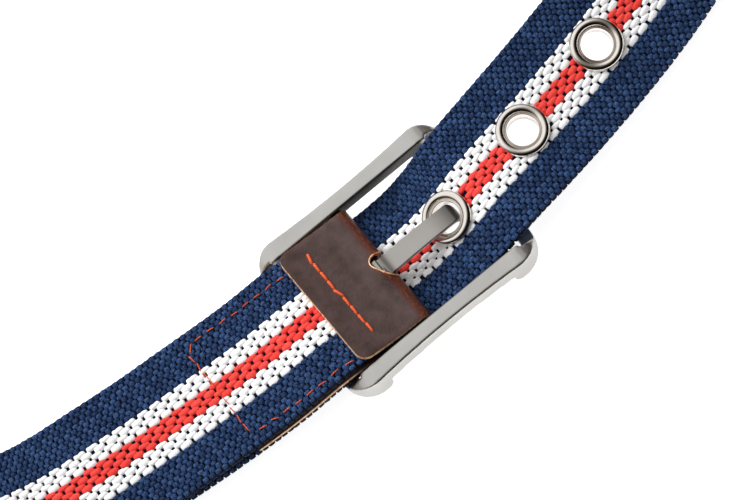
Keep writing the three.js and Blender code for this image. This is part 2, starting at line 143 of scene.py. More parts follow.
def point_value(tree: TREE, name: str) -> SOCKET:
    """Read a number that the piece keeps for each vertex."""
    return add_node(tree, "ShaderNodeAttribute", {"attribute_name": name}).outputs["Fac"]


def stretched(tree: TREE, place: SOCKET, scale: tuple[float, float]) -> SOCKET:
    """Scale a flat place along its two axes."""
    return add_node(tree, "ShaderNodeMapping", {"Scale": (*scale, 1.0)}, {"Vector": place}).outputs[0]


def noise(tree: TREE, place: SOCKET, scale: float, detail: float, roughness: float = 0.5) -> SOCKET:
    """Add fractal noise.

    Args:
        tree: Node tree of the material.
        place: Where the noise is read.
        scale: Its steps in a unit of the place.
        detail: Its octaves.
        roughness: How strong the finer octaves are.

    Returns:
        The noise's value.
    """
    settings = {"Scale": scale, "Detail": detail, "Roughness": roughness}
    return add_node(tree, "ShaderNodeTexNoise", settings, {"Vector": place}).outputs[0]


def map_range(tree: TREE, value: SOCKET, source: tuple[float, float], target: tuple[float, float]) -> SOCKET:
    """Map one span of a value to another, in a straight line.

    Args:
        tree: Node tree of the material.
        value: The value.
        source: The span that it comes from.
        target: The span that it goes to.

    Returns:
        The mapped value.
    """
    settings = {"From Min": source[0], "From Max": source[1], "To Min": target[0], "To Max": target[1]}
    return add_node(tree, "ShaderNodeMapRange", settings, {"Value": value}).outputs[0]


def mix_colour(tree: TREE, share: SOCKET, below: SOCKET | str, above: str) -> SOCKET:
    """Lay one colour over another.

    Args:
        tree: Node tree of the material.
        share: How much of the upper colour shows.
        below: The lower colour, as a socket or an sRGB hex code.
        above: The upper colour's sRGB hex code.

    Returns:
        The mixed colour.
    """
    settings: dict = {"data_type": "RGBA", 7: srgb(above)}
    links: dict = {"Factor": share}
    if isinstance(below, str):
        settings[6] = srgb(below)
    else:
        links[6] = below
    return add_node(tree, "ShaderNodeMix", settings, links).outputs[2]


def colour_ramp(tree: TREE, value: SOCKET, stops: tuple[tuple[float, str], ...]) -> SOCKET:
    """Turn a value into a colour.

    Args:
        tree: Node tree of the material.
        value: The value.
        stops: Position and sRGB hex code of each stop, in order.

    Returns:
        The colour.
    """
    ramp = add_node(tree, "ShaderNodeValToRGB", links={"Fac": value})
    elements = ramp.color_ramp.elements
    while len(elements) < len(stops):
        elements.new(0.5)
    for element, (position, code) in zip(elements, stops):
        element.position = position
        element.color = srgb(code)
    return ramp.outputs[0]


def add_bump(tree: TREE, shader: NODE, height: SOCKET, strength: float, high_mm: float) -> None:
    """Raise fine relief on a shader.

    Args:
        tree: Node tree of the material.
        shader: The Principled shader.
        height: The relief's value.
        strength: Its share from nothing to one.
        high_mm: Its height in millimetres.
    """
    settings = {"Strength": strength, "Distance": high_mm * MM}
    bump = add_node(tree, "ShaderNodeBump", settings, {"Height": height})
    tree.links.new(bump.outputs[0], shader.inputs["Normal"])


@dataclass(frozen=True)
class YarnFinish:
    """Spun polyester yarn, woven: matt, with fine fibres along each float and painted shade where a float
    dives.
    """

    name: str
    deep: str
    middle: str
    light: str
    # gap: colour of the painted shade where a float dives, and on the bare ground under the floats
    gap: str
    fibre_mm: float = 0.26
    bump_mm: float = 0.14
    low: float = 0.36
    high: float = 0.66
    roughness: float = 0.85
    specular: float = 0.25
    fibre_draw: float = 0.6
    float_share: float = 0.1
    # Span of float depth over which the painted shade fades in
    painted_dive_shade: tuple[float, float] = (0.1, 0.5)

    def build(self) -> MATERIAL:
        """Make the yarn's material.

        Returns:
            The material.
        """
        constants = {"Roughness": self.roughness, "Specular IOR Level": self.specular}
        material, tree, shader = new_material(self.name, constants)
        scale = (self.fibre_draw / self.fibre_mm, 1 / self.fibre_mm)
        fibre = noise(tree, stretched(tree, uv_place(tree, "strap_mm"), scale), 1.0, 4.0, 0.65)
        blend = {"data_type": "FLOAT", "Factor": self.float_share}
        tone = add_node(tree, "ShaderNodeMix", blend, {"A": fibre, "B": point_value(tree, "float_shade")})
        stops = ((self.low, self.deep), (0.5, self.middle), (self.high, self.light))
        yarn = colour_ramp(tree, tone.outputs[0], stops)
        # Painted shade: the yarn turns to the gap colour as a float dives towards its base
        settings = {"From Min": self.painted_dive_shade[0], "From Max": self.painted_dive_shade[1], "interpolation_type": "SMOOTHSTEP"}
        painted_dive_shade = add_node(tree, "ShaderNodeMapRange", settings, {"Value": point_value(tree, "float_depth")})
        tree.links.new(mix_colour(tree, painted_dive_shade.outputs[0], yarn, self.gap), shader.inputs["Base Color"])
        add_bump(tree, shader, fibre, 0.9, self.bump_mm)
        return material


@dataclass(frozen=True)
class LeatherFinish:
    """Vegetable-tanned cowhide, dyed brown and waxed: fine grain, soft gloss, redder where the fold rubs."""

    name: str = "waxed_brown_leather"
    deep: str = "35251f"
    middle: str = "4f3b3a"
    rubbed: str = "4e2317"
    bare: str = "a05a35"
    grain_mm: float = 0.55
    bump_mm: float = 0.12
    roughness: float = 0.42
    streak: tuple[float, float] = (4.5, 0.55)
    streak_span: tuple[float, float] = (0.34, 0.64)
    rubbed_span: tuple[float, float] = (0.08, 0.7)
    bare_span: tuple[float, float] = (0.62, 1.15)

    def build(self) -> MATERIAL:
        """Make the leather's material.

        Returns:
            The material.
        """
        material, tree, shader = new_material(self.name, {"Roughness": self.roughness})
        place = uv_place(tree, "hide_mm")
        tone = colour_ramp(tree, noise(tree, place, 0.22, 4.0, 0.6), ((0.3, self.deep), (0.7, self.middle)))
        drawn = noise(tree, stretched(tree, place, self.streak), 1.0, 4.0, 0.7)
        lines = map_range(tree, drawn, self.streak_span, (0.2, 1.0))
        product = {0: point_value(tree, "wear"), 1: lines}
        worn = add_node(tree, "ShaderNodeMath", {"operation": "MULTIPLY"}, product).outputs[0]
        rubbed = mix_colour(tree, map_range(tree, worn, self.rubbed_span, (0.0, 1.0)), tone, self.rubbed)
        colour = mix_colour(tree, map_range(tree, worn, self.bare_span, (0.0, 1.0)), rubbed, self.bare)
        tree.links.new(colour, shader.inputs["Base Color"])
        cells = {"Scale": 1 / self.grain_mm, "feature": "F1"}
        pores = add_node(tree, "ShaderNodeTexVoronoi", cells, {"Vector": place})
        relief = {0: pores.outputs["Distance"], 1: noise(tree, place, 2.6, 5.0, 0.65)}
        height = add_node(tree, "ShaderNodeMath", {"operation": "ADD"}, relief).outputs[0]
        add_bump(tree, shader, height, 0.35, self.bump_mm)
        return material


@dataclass(frozen=True)
class RawEdgeFinish:
    """Cut edge of undyed hide: pale cream fibres, tinted orange by the dye that runs over it."""

    name: str = "raw_hide_edge"
    pale: str = "f0cfa6"
    tinted: str = "c9713f"
    roughness: float = 0.8

    def build(self) -> MATERIAL:
        """Make the cut edge's material.

        Returns:
            The material.
        """
        material, tree, shader = new_material(self.name, {"Roughness": self.roughness})
        stain = noise(tree, uv_place(tree, "hide_mm"), 0.7, 4.0, 0.7)
        colour = colour_ramp(tree, stain, ((0.35, self.tinted), (0.55, self.pale)))
        tree.links.new(colour, shader.inputs["Base Color"])
        return material


@dataclass(frozen=True)
class MetalFinish:
    """Plated metal, satin or buffed: its roughness and colour shift a little over the surface, and it takes
    painted shade where a piece's shade share asks for it.
    """

    name: str
    colour: str
    dull: str
    roughness: float
    spread: float
    grain_mm: float
    bump_mm: float
    # Colour of painted shade, laid where a piece's per-vertex shade share is high
    dark: str = "3a3836"
    clouds_per_metre: float = 140.0

    def build(self) -> MATERIAL:
        """Make the metal's material.

        Returns:
            The material.
        """
        material, tree, shader = new_material(self.name, {"Metallic": 1.0})
        place = add_node(tree, "ShaderNodeTexCoord").outputs["Object"]
        cloud = noise(tree, place, self.clouds_per_metre, 3.0)
        plate = mix_colour(tree, cloud, self.colour, self.dull)
        span = (self.roughness - self.spread, self.roughness + self.spread)
        tree.links.new(map_range(tree, cloud, (0.0, 1.0), span), shader.inputs["Roughness"])
        # Painted shade: mix towards the dark colour by the piece's per-vertex shade share
        colour = mix_colour(tree, point_value(tree, "painted_shade_share"), plate, self.dark)
        tree.links.new(colour, shader.inputs["Base Color"])
        add_bump(tree, shader, noise(tree, place, 1 / (self.grain_mm * MM), 2.0), 0.3, self.bump_mm)
        return material


@dataclass(frozen=True)
class ThreadFinish:
    """Waxed polyester sewing thread, twisted: orange, with painted shade in the grooves between its plies."""

    name: str = "waxed_orange_thread"
    light: str = "f26d3a"
    dark: str = "c4361a"
    twist_mm: float = 0.5
    bump_mm: float = 0.08
    roughness: float = 0.6

    def build(self) -> MATERIAL:
        """Make the thread's material.

        Returns:
            The material.
        """
        material, tree, shader = new_material(self.name, {"Roughness": self.roughness})
        settings = {"bands_direction": "DIAGONAL", "Scale": 0.5 / self.twist_mm, "Distortion": 0.6}
        wave = add_node(tree, "ShaderNodeTexWave", settings, {"Vector": uv_place(tree, "thread_mm")})
        # Painted shade: the dark bands of the wave stand for shade in the grooves between the plies
        colour = colour_ramp(tree, wave.outputs[0], ((0.1, self.dark), (0.45, self.light)))
        tree.links.new(colour, shader.inputs["Base Color"])
        add_bump(tree, shader, wave.outputs[0], 0.6, self.bump_mm)
        return material


@dataclass
class StrapPath:
    """Middle line of the strap, from its free tip through the buckle and round to its sewn end."""

    width: float = 39.0
    thick: float = 2.6
    gap: float = 0.3
    room: float = 0.45
    floor_gap: float = 0.3
    loop_reach: float = 225.0
    loop_depth: float = 205.0
    half_frame: float = 33.4
    end_bar_height: float = 4.0
    bar_radius: float = 1.3
    bar_offset: float = -5.2
    leather: float = 1.25
    bottom_flap: float = 55.8
    prong_thick: float = 1.4
    tip_rows: tuple[tuple[float, float, float, float], ...] = (
        (-3.3, 0.182, 7.0, 0.08),
        (-3.08, 0.154, 6.5, 0.1),
        (-2.57, 0.102, 5.5, 0.06),
        (-2.1, 0.061, 4.5, 0.08),
        (-1.62, 0.028, 3.5, 0.14),
        (-1.26, 0.005, 1.5, 0.62),
        (-0.93, -0.01, 0.0, 1.38),
        (-0.61, -0.022, 0.0, 0.4),
    )
    right_rows: tuple[tuple[float, float, float, float], ...] = (
        (-0.36, -0.02, 0.0, 0.03),
        (-0.12, -0.023, 0.0, 0),
        (0.09, -0.023, 0.0, 0),
        (0.225, -0.023, 0.0, 0.04),
        (0.33, -0.026, 0.0, 0.33),
        (0.524, -0.027, 0.0, 0.95),
        (0.72, -0.016, 0.0, 1.56),
        (0.87, 0.006, 1.5, 1.78),
        (1.11, 0.044, 4.5, 1.43),
        (1.41, 0.088, 8.5, 0.97),
        (1.77, 0.143, 11.5, 0.65),
        (2.19, 0.21, 14.0, 0.45),
        (2.69, 0.3, 17.0, 0.3),
        (3.29, 0.428, 23.0, 0.15),
    )
    loop_rows: tuple[tuple[float, float, float], ...] = (
        (0.6, 0.125, 38),
        (0.74, 0.205, 64),
        (0.87, 0.33, 86),
        (0.925, 0.5, 90),
        (0.87, 0.69, 90),
        (0.68, 0.85, 90),
        (0.4, 0.94, 90),
        (0.09, 0.975, 90),
        (-0.24, 0.965, 90),
        (-0.55, 0.9, 90),
        (-0.81, 0.77, 90),
        (-0.96, 0.58, 90),
        (-0.98, 0.385, 88),
        (-0.885, 0.215, 64),
        (-0.745, 0.118, 34),
        (-0.625, 0.071, 15),
    )
    join_scale: tuple[float, float] = (1.09, 1.15)
    join_lift: float = 0.7
    flap_ease: float = 0.3
    bar_steps: tuple[float, ...] = (-2.2, -1.5, -0.8)
    bar_lifts: tuple[float, float] = (0.42, 0.25)
    samples: ARRAY = field(init=False)
    runs: ARRAY = field(init=False)
    shift: ARRAY = field(init=False)

    def __post_init__(self) -> None:
        """Sample the line and find where the frame puts the belt."""
        self.samples = self.spline(self.points())
        steps = np.linalg.norm(np.diff(self.samples[:, :3], axis=0), axis=1)
        self.runs = np.concatenate([[0.0], np.cumsum(steps)])
        low, high = (np.array(corner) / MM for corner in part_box("buckle_frame"))
        self.shift = np.array([(low[0] + high[0]) / 2, (low[1] + high[1]) / 2, low[2]])

    @property
    def length(self) -> float:
        """Whole length of the strap."""
        return float(self.runs[-1])

    @property
    def bar_level(self) -> float:
        """Height of the centre bar's middle."""
        strap_top = self.floor_gap + self.thick
        return strap_top + self.room + self.gap + self.prong_thick + self.bar_radius

    def standing(self, lean: float) -> float:
        """Height of the middle line when the strap's lower edge stands on the floor at a lean."""
        angle = math.radians(lean)
        return self.floor_gap + self.width / 2 * math.sin(angle) + self.thick / 2 * math.cos(angle)

    def near(self, row: tuple[float, float, float, float]) -> list[float]:
        """Turn a row in half frame lengths, strap widths, degrees and end bar heights into a point."""
        x, y, lean, lift = row
        return [x * self.half_frame, y * self.width, self.standing(lean) + lift * self.end_bar_height, lean]

    def upper(self, row: tuple[float, float, float, float]) -> list[float]:
        """Raise a row by one layer, over the bare strap or over the strap and the bottom flap.

        Args:
            row: A row that near takes.

        Returns:
            The raised point.
        """
        point = self.near(row)
        beyond = (self.bar_offset - self.bottom_flap - point[0]) / (self.flap_ease * self.width)
        on_flap = min(max(2 - beyond, 0), 1)
        point[2] += self.thick + self.gap + self.room + on_flap * (self.leather + self.gap)
        return point

    def points(self) -> ARRAY:
        """Control points of the middle line.

        Returns:
            Rows of x, y, z and lean.
        """
        under = [self.near(row) for row in self.tip_rows]
        right = [self.near(row) for row in self.right_rows]
        around = [
            [x * self.loop_reach, y * self.loop_depth, self.standing(lean), lean]
            for x, y, lean in self.loop_rows
        ]
        join = self.near(self.tip_rows[0])
        join[0] *= self.join_scale[0]
        join[1] *= self.join_scale[1]
        join[2] += self.join_lift * (self.thick + self.gap)
        over = [self.upper(row) for row in self.tip_rows[1:-1]]
        wrap = self.bar_radius + self.gap + self.leather / 2
        level = self.bar_level
        last = [[self.bar_offset + share * wrap, 0.0, level, 0.0] for share in self.bar_steps]
        high, low = (level + lift * self.end_bar_height for lift in self.bar_lifts)
        rise = [self.tip_rows[-1][0] * self.half_frame, 0.0, high, 0.0]
        ease = [(rise[0] + last[0][0]) / 2, 0.0, low, 0.0]
        return np.array([*under, *right, *around, join, *over, rise, ease, *last], float)

    @staticmethod
    def spline(points: ARRAY, per_span: int = 24) -> ARRAY:
        """Sample a uniform cubic B-spline.

        Args:
            points: Control points, one a row.
            per_span: Samples in each span.

        Returns:
            Samples with the same columns.
        """
        u = np.arange(per_span)[:, None] / per_span
        v = 1 - u
        weights = (v**3 / 6, (3 * u**3 - 6 * u**2 + 4) / 6, (-3 * u**3 + 3 * u**2 + 3 * u + 1) / 6, u**3 / 6)
        spans = [sum(w * points[i + k] for k, w in enumerate(weights)) for i in range(len(points) - 3)]
        end = (points[-3] + 4 * points[-2] + points[-1]) / 6
        return np.concatenate([*spans, end[None]])

    def frames(self, run: ARRAY) -> tuple[ARRAY, ARRAY, ARRAY, ARRAY]:
        """Find the strap's own frame at running lengths.

        Args:
            run: Lengths from the tip.

        Returns:
            Place, direction along, direction to the left edge and direction out of the outer face.
        """
        run = np.atleast_1d(np.asarray(run, float))

        def place(at: ARRAY) -> ARRAY:
            """Find the middle line's places at running lengths."""
            return np.stack([np.interp(at, self.runs, self.samples[:, k]) for k in range(3)], -1)

        step = self.thick / 4
        along = place(np.minimum(run + step, self.length)) - place(np.maximum(run - step, 0))
        along /= np.linalg.norm(along, axis=1, keepdims=True)
        side = np.stack([-along[:, 1], along[:, 0], np.zeros(len(run))], -1)
        side /= np.linalg.norm(side, axis=1, keepdims=True)
        up = np.cross(along, side)
        angle = np.radians(np.interp(run, self.runs, self.samples[:, 3]))[:, None]
        across = np.cos(angle) * side + np.sin(angle) * up
        out = np.cos(angle) * up - np.sin(angle) * side
        return place(run), along, across, out

    def to_scene(self, points: ARRAY) -> ARRAY:
        """Take points of the belt's frame to the scene, in metres."""
        return (points + self.shift) * MM

    def bend(self, flat: ARRAY) -> ARRAY:
        """Lay points of the flat strap on its path in the scene.

        Args:
            flat: Rows of running length, offset across and offset out.

        Returns:
            Rows of x, y and z in metres.
        """
        place, _, across, out = self.frames(flat[:, 0])
        return self.to_scene(place + across * flat[:, 1:2] + out * flat[:, 2:3])

    def run_at(self, x: float, first_half: bool) -> float:
        """Find where the middle line passes x beside the buckle.

        Args:
            x: The place along the buckle.
            first_half: Whether to look in the holed half of the strap or in the sewn half.

        Returns:
            The running length.
        """
        half = (self.runs < self.length / 2) == first_half
        close = half & (self.samples[:, 1] < self.loop_depth / 4)
        index = np.flatnonzero(close[:-1] & (self.samples[:-1, 0] <= x) & (self.samples[1:, 0] > x))[0]
        low, high = self.samples[index, 0], self.samples[index + 1, 0]
        share = (x - low) / (high - low)
        return float(self.runs[index] + share * (self.runs[index + 1] - self.runs[index]))


def deselect() -> None:
    """Leave nothing selected, so the next operator acts on its own piece."""
    bpy.ops.object.select_all(action="DESELECT")


def make_active(piece: PIECE) -> None:
    """Select one piece alone and make it active.

    Args:
        piece: The piece.
    """
    deselect()
    piece.select_set(True)
    bpy.context.view_layer.objects.active = piece


@contextmanager
def edit_all(piece: PIECE) -> Iterator[None]:
    """Hold a piece in edit mode, all of it selected at the start.

    Args:
        piece: The piece.

    Yields:
        Nothing, while the piece is in edit mode.
    """
    make_active(piece)
    bpy.ops.object.mode_set(mode="EDIT")
    bpy.ops.mesh.select_all(action="SELECT")
    yield
    bpy.ops.object.mode_set(mode="OBJECT")


def turn_outward() -> None:
    """Turn the faces of the piece in edit mode outward."""
    bpy.ops.mesh.select_all(action="SELECT")
    bpy.ops.mesh.normals_make_consistent(inside=False)


def apply_modifier(piece: PIECE, kind: str, settings: dict) -> None:
    """Add a modifier, set it and apply it.

    Args:
        piece: The piece that gets it.
        kind: Blender's name of the modifier type.
        settings: Values by attribute name.
    """
    make_active(piece)
    modifier = piece.modifiers.new(kind.lower(), kind)
    for key, value in settings.items():
        setattr(modifier, key, value)
    bpy.ops.object.modifier_apply(modifier=modifier.name)


def cut_with(piece: PIECE, tool: PIECE, operation: str = "DIFFERENCE") -> None:
    """Cut a piece with a tool solid, which goes away.

    Args:
        piece: The piece.
        tool: The solid that cuts it.
        operation: What the cut leaves: DIFFERENCE or INTERSECT.
    """
    apply_modifier(piece, "BOOLEAN", {"operation": operation, "object": tool, "solver": "EXACT"})
    bpy.data.objects.remove(tool, do_unlink=True)


def read_points(piece: PIECE) -> ARRAY:
    """Read a mesh's vertices as rows.

    Args:
        piece: The piece.

    Returns:
        Rows of x, y and z.
    """
    points = np.empty(len(piece.data.vertices) * 3)
    piece.data.vertices.foreach_get("co", points)
    return points.reshape(-1, 3)


def write_points(piece: PIECE, points: ARRAY) -> None:
    """Write a mesh's vertices from rows."""
    piece.data.vertices.foreach_set("co", np.ascontiguousarray(points, float).ravel())
    piece.data.update()


def flat_sheet(name: str, size: tuple[float, float, float], cells: tuple[int, int]) -> PIECE:
    """Make a flat sheet that runs along +X from the origin, in millimetres.

    Args:
        name: The piece's name.
        size: Its length, width and thickness.
        cells: Its cells along and across.

    Returns:
        The piece.
    """
    length, width, thick = size
    deselect()
    bpy.ops.mesh.primitive_grid_add(x_subdivisions=cells[0], y_subdivisions=cells[1], size=1)
    piece = bpy.context.object
    piece.name = name
    with edit_all(piece):
        bpy.ops.transform.resize(value=(length, width, 1))
        bpy.ops.transform.translate(value=(length / 2, 0, 0))
    apply_modifier(piece, "SOLIDIFY", {"thickness": thick, "offset": 0.0})
    return piece


def mesh_from(name: str, points: ARRAY, faces: ARRAY) -> PIECE:
    """Make a mesh object from points and faces that all have the same number of corners.

    Args:
        name: The piece's name.
        points: Rows of x, y and z.
        faces: Rows of vertex numbers.

    Returns:
        The linked object.
    """
    mesh = bpy.data.meshes.new(name)
    corners = faces.shape[1]
    mesh.vertices.add(len(points))
    mesh.vertices.foreach_set("co", np.ascontiguousarray(points, np.float32).ravel())
    mesh.loops.add(faces.size)
    mesh.loops.foreach_set("vertex_index", np.ascontiguousarray(faces, np.int32).ravel())
    mesh.polygons.add(len(faces))
    mesh.polygons.foreach_set("loop_start", np.arange(0, faces.size, corners, dtype=np.int32))
    mesh.update(calc_edges=True)
    mesh.validate()
    piece = bpy.data.objects.new(name, mesh)
    bpy.context.scene.collection.objects.link(piece)
    return piece


def put_uv(piece: PIECE, name: str, flat: ARRAY) -> None:
    """Give a mesh a UV map from a flat place of each vertex.

    Args:
        piece: The piece.
        name: The map's name.
        flat: Rows of u and v, one for each vertex.
    """
    mesh = piece.data
    layer = mesh.uv_layers.new(name=name)
    corners = np.empty(len(mesh.loops), np.int32)
    mesh.loops.foreach_get("vertex_index", corners)
    layer.uv.foreach_set("vector", np.ascontiguousarray(flat[corners, :2], np.float32).ravel())


def put_value(piece: PIECE, name: str, values: ARRAY) -> None:
    """Give a mesh a number for each vertex.

    Args:
        piece: The piece.
        name: The attribute's name.
        values: One number for each vertex.
    """
    attribute = piece.data.attributes.new(name, "FLOAT", "POINT")
    attribute.data.foreach_set("value", np.ascontiguousarray(values, np.float32))


def finish_piece(piece: PIECE, materials: list[MATERIAL], replaces: tuple[str, ...] = ()) -> None:
    """Dress a piece, tie it to the belt's one body and report it.

    Args:
        piece: The piece.
        materials: Its materials, in slot order.
        replaces: Nodes that it stands for.
    """
    while len(piece.data.materials) < len(materials):
        piece.data.materials.append(None)
    for index, material in enumerate(materials):
        piece.data.materials[index] = material
    piece.data.polygons.foreach_set("use_smooth", np.ones(len(piece.data.polygons), bool))
    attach(piece, "root")
    if replaces:
        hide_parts(*replaces)
    LOG.info("%s: %d vertices, %d faces", piece.name, len(piece.data.vertices), len(piece.data.polygons))


@dataclass
class WovenStrap:
    """The web: a flat ground with rows of rounded floats on both faces, in navy, white and red."""

    path: StrapPath
    eyelet_runs: list[float]
    barrel_radius: float = 5.0
    punch_room: float = 0.3
    columns: int = 30
    red_reach: int = 2
    white_reach: int = 6
    inner_pitch: float = 1.32
    outer_pitch: float = 1.27
    float_pitch: float = 4.28
    column_offset: float = 0.39
    ground_thick: float = 1.3
    ground_width: float = 38.2
    ground_cell: float = 2.2
    ground_shade: float = 0.25
    float_high: float = 1.5
    wide_float: float = 2.1
    narrow_float: float = 1.65
    float_long: float = 3.55
    navy_share: float = 0.5
    navy_fill: float = 0.5
    float_powers: tuple[float, float, float] = (0.42, 0.55, 0.72)
    square_fill: float = 1.22
    long_spread: tuple[float, float] = (0.95, 1.05)
    wide_spread: tuple[float, float] = (0.94, 1.06)
    high_spread: tuple[float, float] = (0.92, 1.04)
    turn_degrees: float = 3.0
    slip: float = 0.06
    loop_size: tuple[float, float, float] = (0.55, 1, 1.45)
    loop_width: float = 1.1
    loop_start: float = 1.2
    loop_end: float = 1.0
    loop_out: float = 0.05
    seen_right: float = 110.0
    seen_left: float = -135.0
    seed: int = 7

    def across(self, column: int) -> float:
        """Find how far a column lies from the strap's middle: the coloured ones are spaced a little wider.

        Args:
            column: The column's number.

        Returns:
            Its offset across.
        """
        from_middle = column - (self.columns - 1) / 2
        inner = math.copysign(min(abs(from_middle), self.white_reach), from_middle)
        return inner * self.inner_pitch + (from_middle - inner) * self.outer_pitch

    def stripe_of(self, column: int) -> Stripe:
        """Find a column's colour: nine navy, four white, four red, four white, nine navy.

        Args:
            column: The column's number.

        Returns:
            The colour.
        """
        from_middle = abs(column - (self.columns - 1) / 2)
        if from_middle < self.red_reach:
            return Stripe.RED
        return Stripe.WHITE if from_middle < self.white_reach else Stripe.NAVY

    def float_step(self, stripe: Stripe) -> tuple[float, float]:
        """Find the pitch and length of a colour's floats: the navy ones are bound twice as often.

        Args:
            stripe: The colour.

        Returns:
            The pitch and the length.
        """
        share = self.navy_share if stripe is Stripe.NAVY else 1.0
        return self.float_pitch * share, (self.float_long + self.navy_fill * (1 - share)) * share

    def model_float(self, segments: int, rings: int) -> tuple[ARRAY, ARRAY]:
        """Model one float lying along X: an ellipsoid filled out towards a rounded block.

        Args:
            segments: Sides round its length. Four are turned flat side up and let out.
            rings: Steps along its length.

        Returns:
            Its points, one unit long, wide and high, and its triangles.
        """
        deselect()
        bpy.ops.mesh.primitive_uv_sphere_add(segments=segments, ring_count=rings, radius=0.5)
        piece = bpy.context.object
        with edit_all(piece):
            bpy.ops.transform.rotate(value=math.pi / 2, orient_axis="Y", center_override=(0, 0, 0))
            bpy.ops.mesh.quads_convert_to_tris()
        points = read_points(piece)
        if segments == 4:
            points[:, 1:] = points[:, 1:] @ np.array([[1, 1], [-1, 1]]) / math.sqrt(2) * self.square_fill
        points = np.sign(points) * 0.5 * np.abs(points * 2) ** np.array(self.float_powers)
        faces = np.array([polygon.vertices[:] for polygon in piece.data.polygons])
        bpy.data.objects.remove(piece, do_unlink=True)
        return points, faces

    def float_places(self, face: Face, stripe: Stripe, low: float, high: float) -> ARRAY:
        """List the floats of one colour on one face over a stretch of the strap.

        Args:
            face: The strap's outer or inner face.
            stripe: The colour.
            low: Running length where the stretch starts.
            high: Running length where it ends.

        Returns:
            Rows of running length, offset across, offset out and width.
        """
        rows = []
        pitch, long = self.float_step(stripe)
        for column in range(self.columns):
            if self.stripe_of(column) is not stripe:
                continue
            odd = column % 2
            start = pitch * (0.5 + self.column_offset * odd)
            runs = np.arange(start, self.path.length - 0.4 * pitch, pitch)
            runs = runs[(runs >= low) & (runs < high)]
            width = self.wide_float if odd else self.narrow_float
            block = np.empty((len(runs), 4))
            block[:] = (0.0, self.across(column), face.value * self.ground_thick / 2, width)
            block[:, 0] = runs
            rows.append(block)
        places = np.concatenate(rows)
        for run in self.eyelet_runs:
            away = np.hypot(places[:, 0] - run, places[:, 1])
            places = places[away > self.barrel_radius + 0.45 * long]
        return places

    def build_floats(self, name: str, places: ARRAY, shape: tuple[ARRAY, ARRAY], long: float) -> PIECE:
        """Copy the float to every place and bend the sheet of floats onto the path.

        Args:
            name: The piece's name.
            places: Rows from float_places.
            shape: Points and triangles of one float.
            long: Length of a float.

        Returns:
            The piece.
        """
        points, faces = shape
        count = len(places)
        rng = np.random.default_rng(self.seed + len(name) + count)
        size = np.empty((count, 1, 3))
        size[:, 0, 0] = long * rng.uniform(*self.long_spread, count)
        size[:, 0, 1] = places[:, 3] * rng.uniform(*self.wide_spread, count)
        size[:, 0, 2] = self.float_high * rng.uniform(*self.high_spread, count)
        body = points[None] * size
        turn = rng.normal(0, math.radians(self.turn_degrees), count)[:, None]
        x = body[..., 0] * np.cos(turn) - body[..., 1] * np.sin(turn)
        y = body[..., 0] * np.sin(turn) + body[..., 1] * np.cos(turn)
        flat = np.stack([x, y, body[..., 2]], -1) + places[:, None, :3]
        flat[..., 0] += rng.normal(0, self.slip, count)[:, None]
        flat = flat.reshape(-1, 3)
        every = (faces[None] + (np.arange(count) * len(points))[:, None, None]).reshape(-1, 3)
        piece = mesh_from(name, self.path.bend(flat), every)
        put_uv(piece, "strap_mm", flat)
        put_value(piece, "float_shade", np.repeat(rng.uniform(0, 1, count), len(points)))
        # float_depth drives the painted shade: none on a float's top, more towards its base
        outward = points[None, :, 2] * np.sign(places[:, 2:3])
        put_value(piece, "float_depth", np.clip(0.5 - outward, 0, 1).ravel())
        return piece

    def build_ground(self) -> PIECE:
        """Make the strap's flat ground, cut its eyelet holes and bend it onto the path.

        Returns:
            The piece.
        """
        length, thick = self.path.length, self.ground_thick
        cells = (int(length / self.ground_cell), 8)
        piece = flat_sheet("strap_ground", (length, self.ground_width, thick), cells)
        radius = self.barrel_radius + self.punch_room
        for run in self.eyelet_runs:
            deselect()
            bpy.ops.mesh.primitive_cylinder_add(
                vertices=48, radius=radius, depth=4 * thick, location=(run, 0, 0)
            )
            cut_with(piece, bpy.context.object)
        flat = read_points(piece)
        put_uv(piece, "strap_mm", flat)
        put_value(piece, "float_shade", np.full(len(flat), self.ground_shade))
        # Painted shade: the ground takes the yarn's gap colour all over, as shade under the floats
        put_value(piece, "float_depth", np.ones(len(flat)))
        write_points(piece, self.path.bend(flat))
        return piece

    def build_selvedges(self, shape: tuple[ARRAY, ARRAY]) -> PIECE:
        """Make the weft loops along both edges of the strap.

        Args:
            shape: Points and triangles of one float.

        Returns:
            The piece.
        """
        runs = np.arange(self.loop_start, self.path.length - self.loop_end, self.float_pitch / 2)
        blocks = []
        for side in (-1, 1):
            block = np.zeros((len(runs), 4))
            block[:, 0] = runs
            block[:, 1] = side * (self.ground_width / 2 + self.loop_out)
            block[:, 3] = self.loop_width
            blocks.append(block)
        loop = (shape[0] * self.loop_size, shape[1])
        return self.build_floats("strap_selvedges", np.concatenate(blocks), loop, self.float_long)

    def build(self, yarns: dict[Stripe, MATERIAL]) -> None:
        """Build the whole strap, with its finest floats on the stretches that the photograph shows.

        Args:
            yarns: Material of each colour.
        """
        finish_piece(self.build_ground(), [yarns[Stripe.NAVY]], ("web_strap",))
        fine, plain, block, coarse = (self.model_float(*count) for count in ((9, 6), (6, 4), (4, 4), (4, 3)))
        near_end = self.path.run_at(self.seen_right, True)
        near_start = self.path.run_at(self.seen_left, False)
        length = self.path.length
        stretches = (
            ("holed", Face.OUTER, 0.0, near_end, fine, plain),
            ("round", Face.OUTER, near_end, near_start, plain, block),
            ("sewn", Face.OUTER, near_start, length, fine, plain),
            ("inner_1", Face.INNER, 0.0, length / 2, plain, coarse),
            ("inner_2", Face.INNER, length / 2, length, plain, coarse),
        )
        for stripe in Stripe:
            long = self.float_step(stripe)[1]
            for name, face, low, high, long_shape, short_shape in stretches:
                places = self.float_places(face, stripe, low, high)
                shape = short_shape if stripe is Stripe.NAVY else long_shape
                piece = self.build_floats(f"weave_{stripe.value}_{name}", places, shape, long)
                finish_piece(piece, [yarns[stripe]])
        finish_piece(self.build_selvedges(plain), [yarns[Stripe.NAVY]])


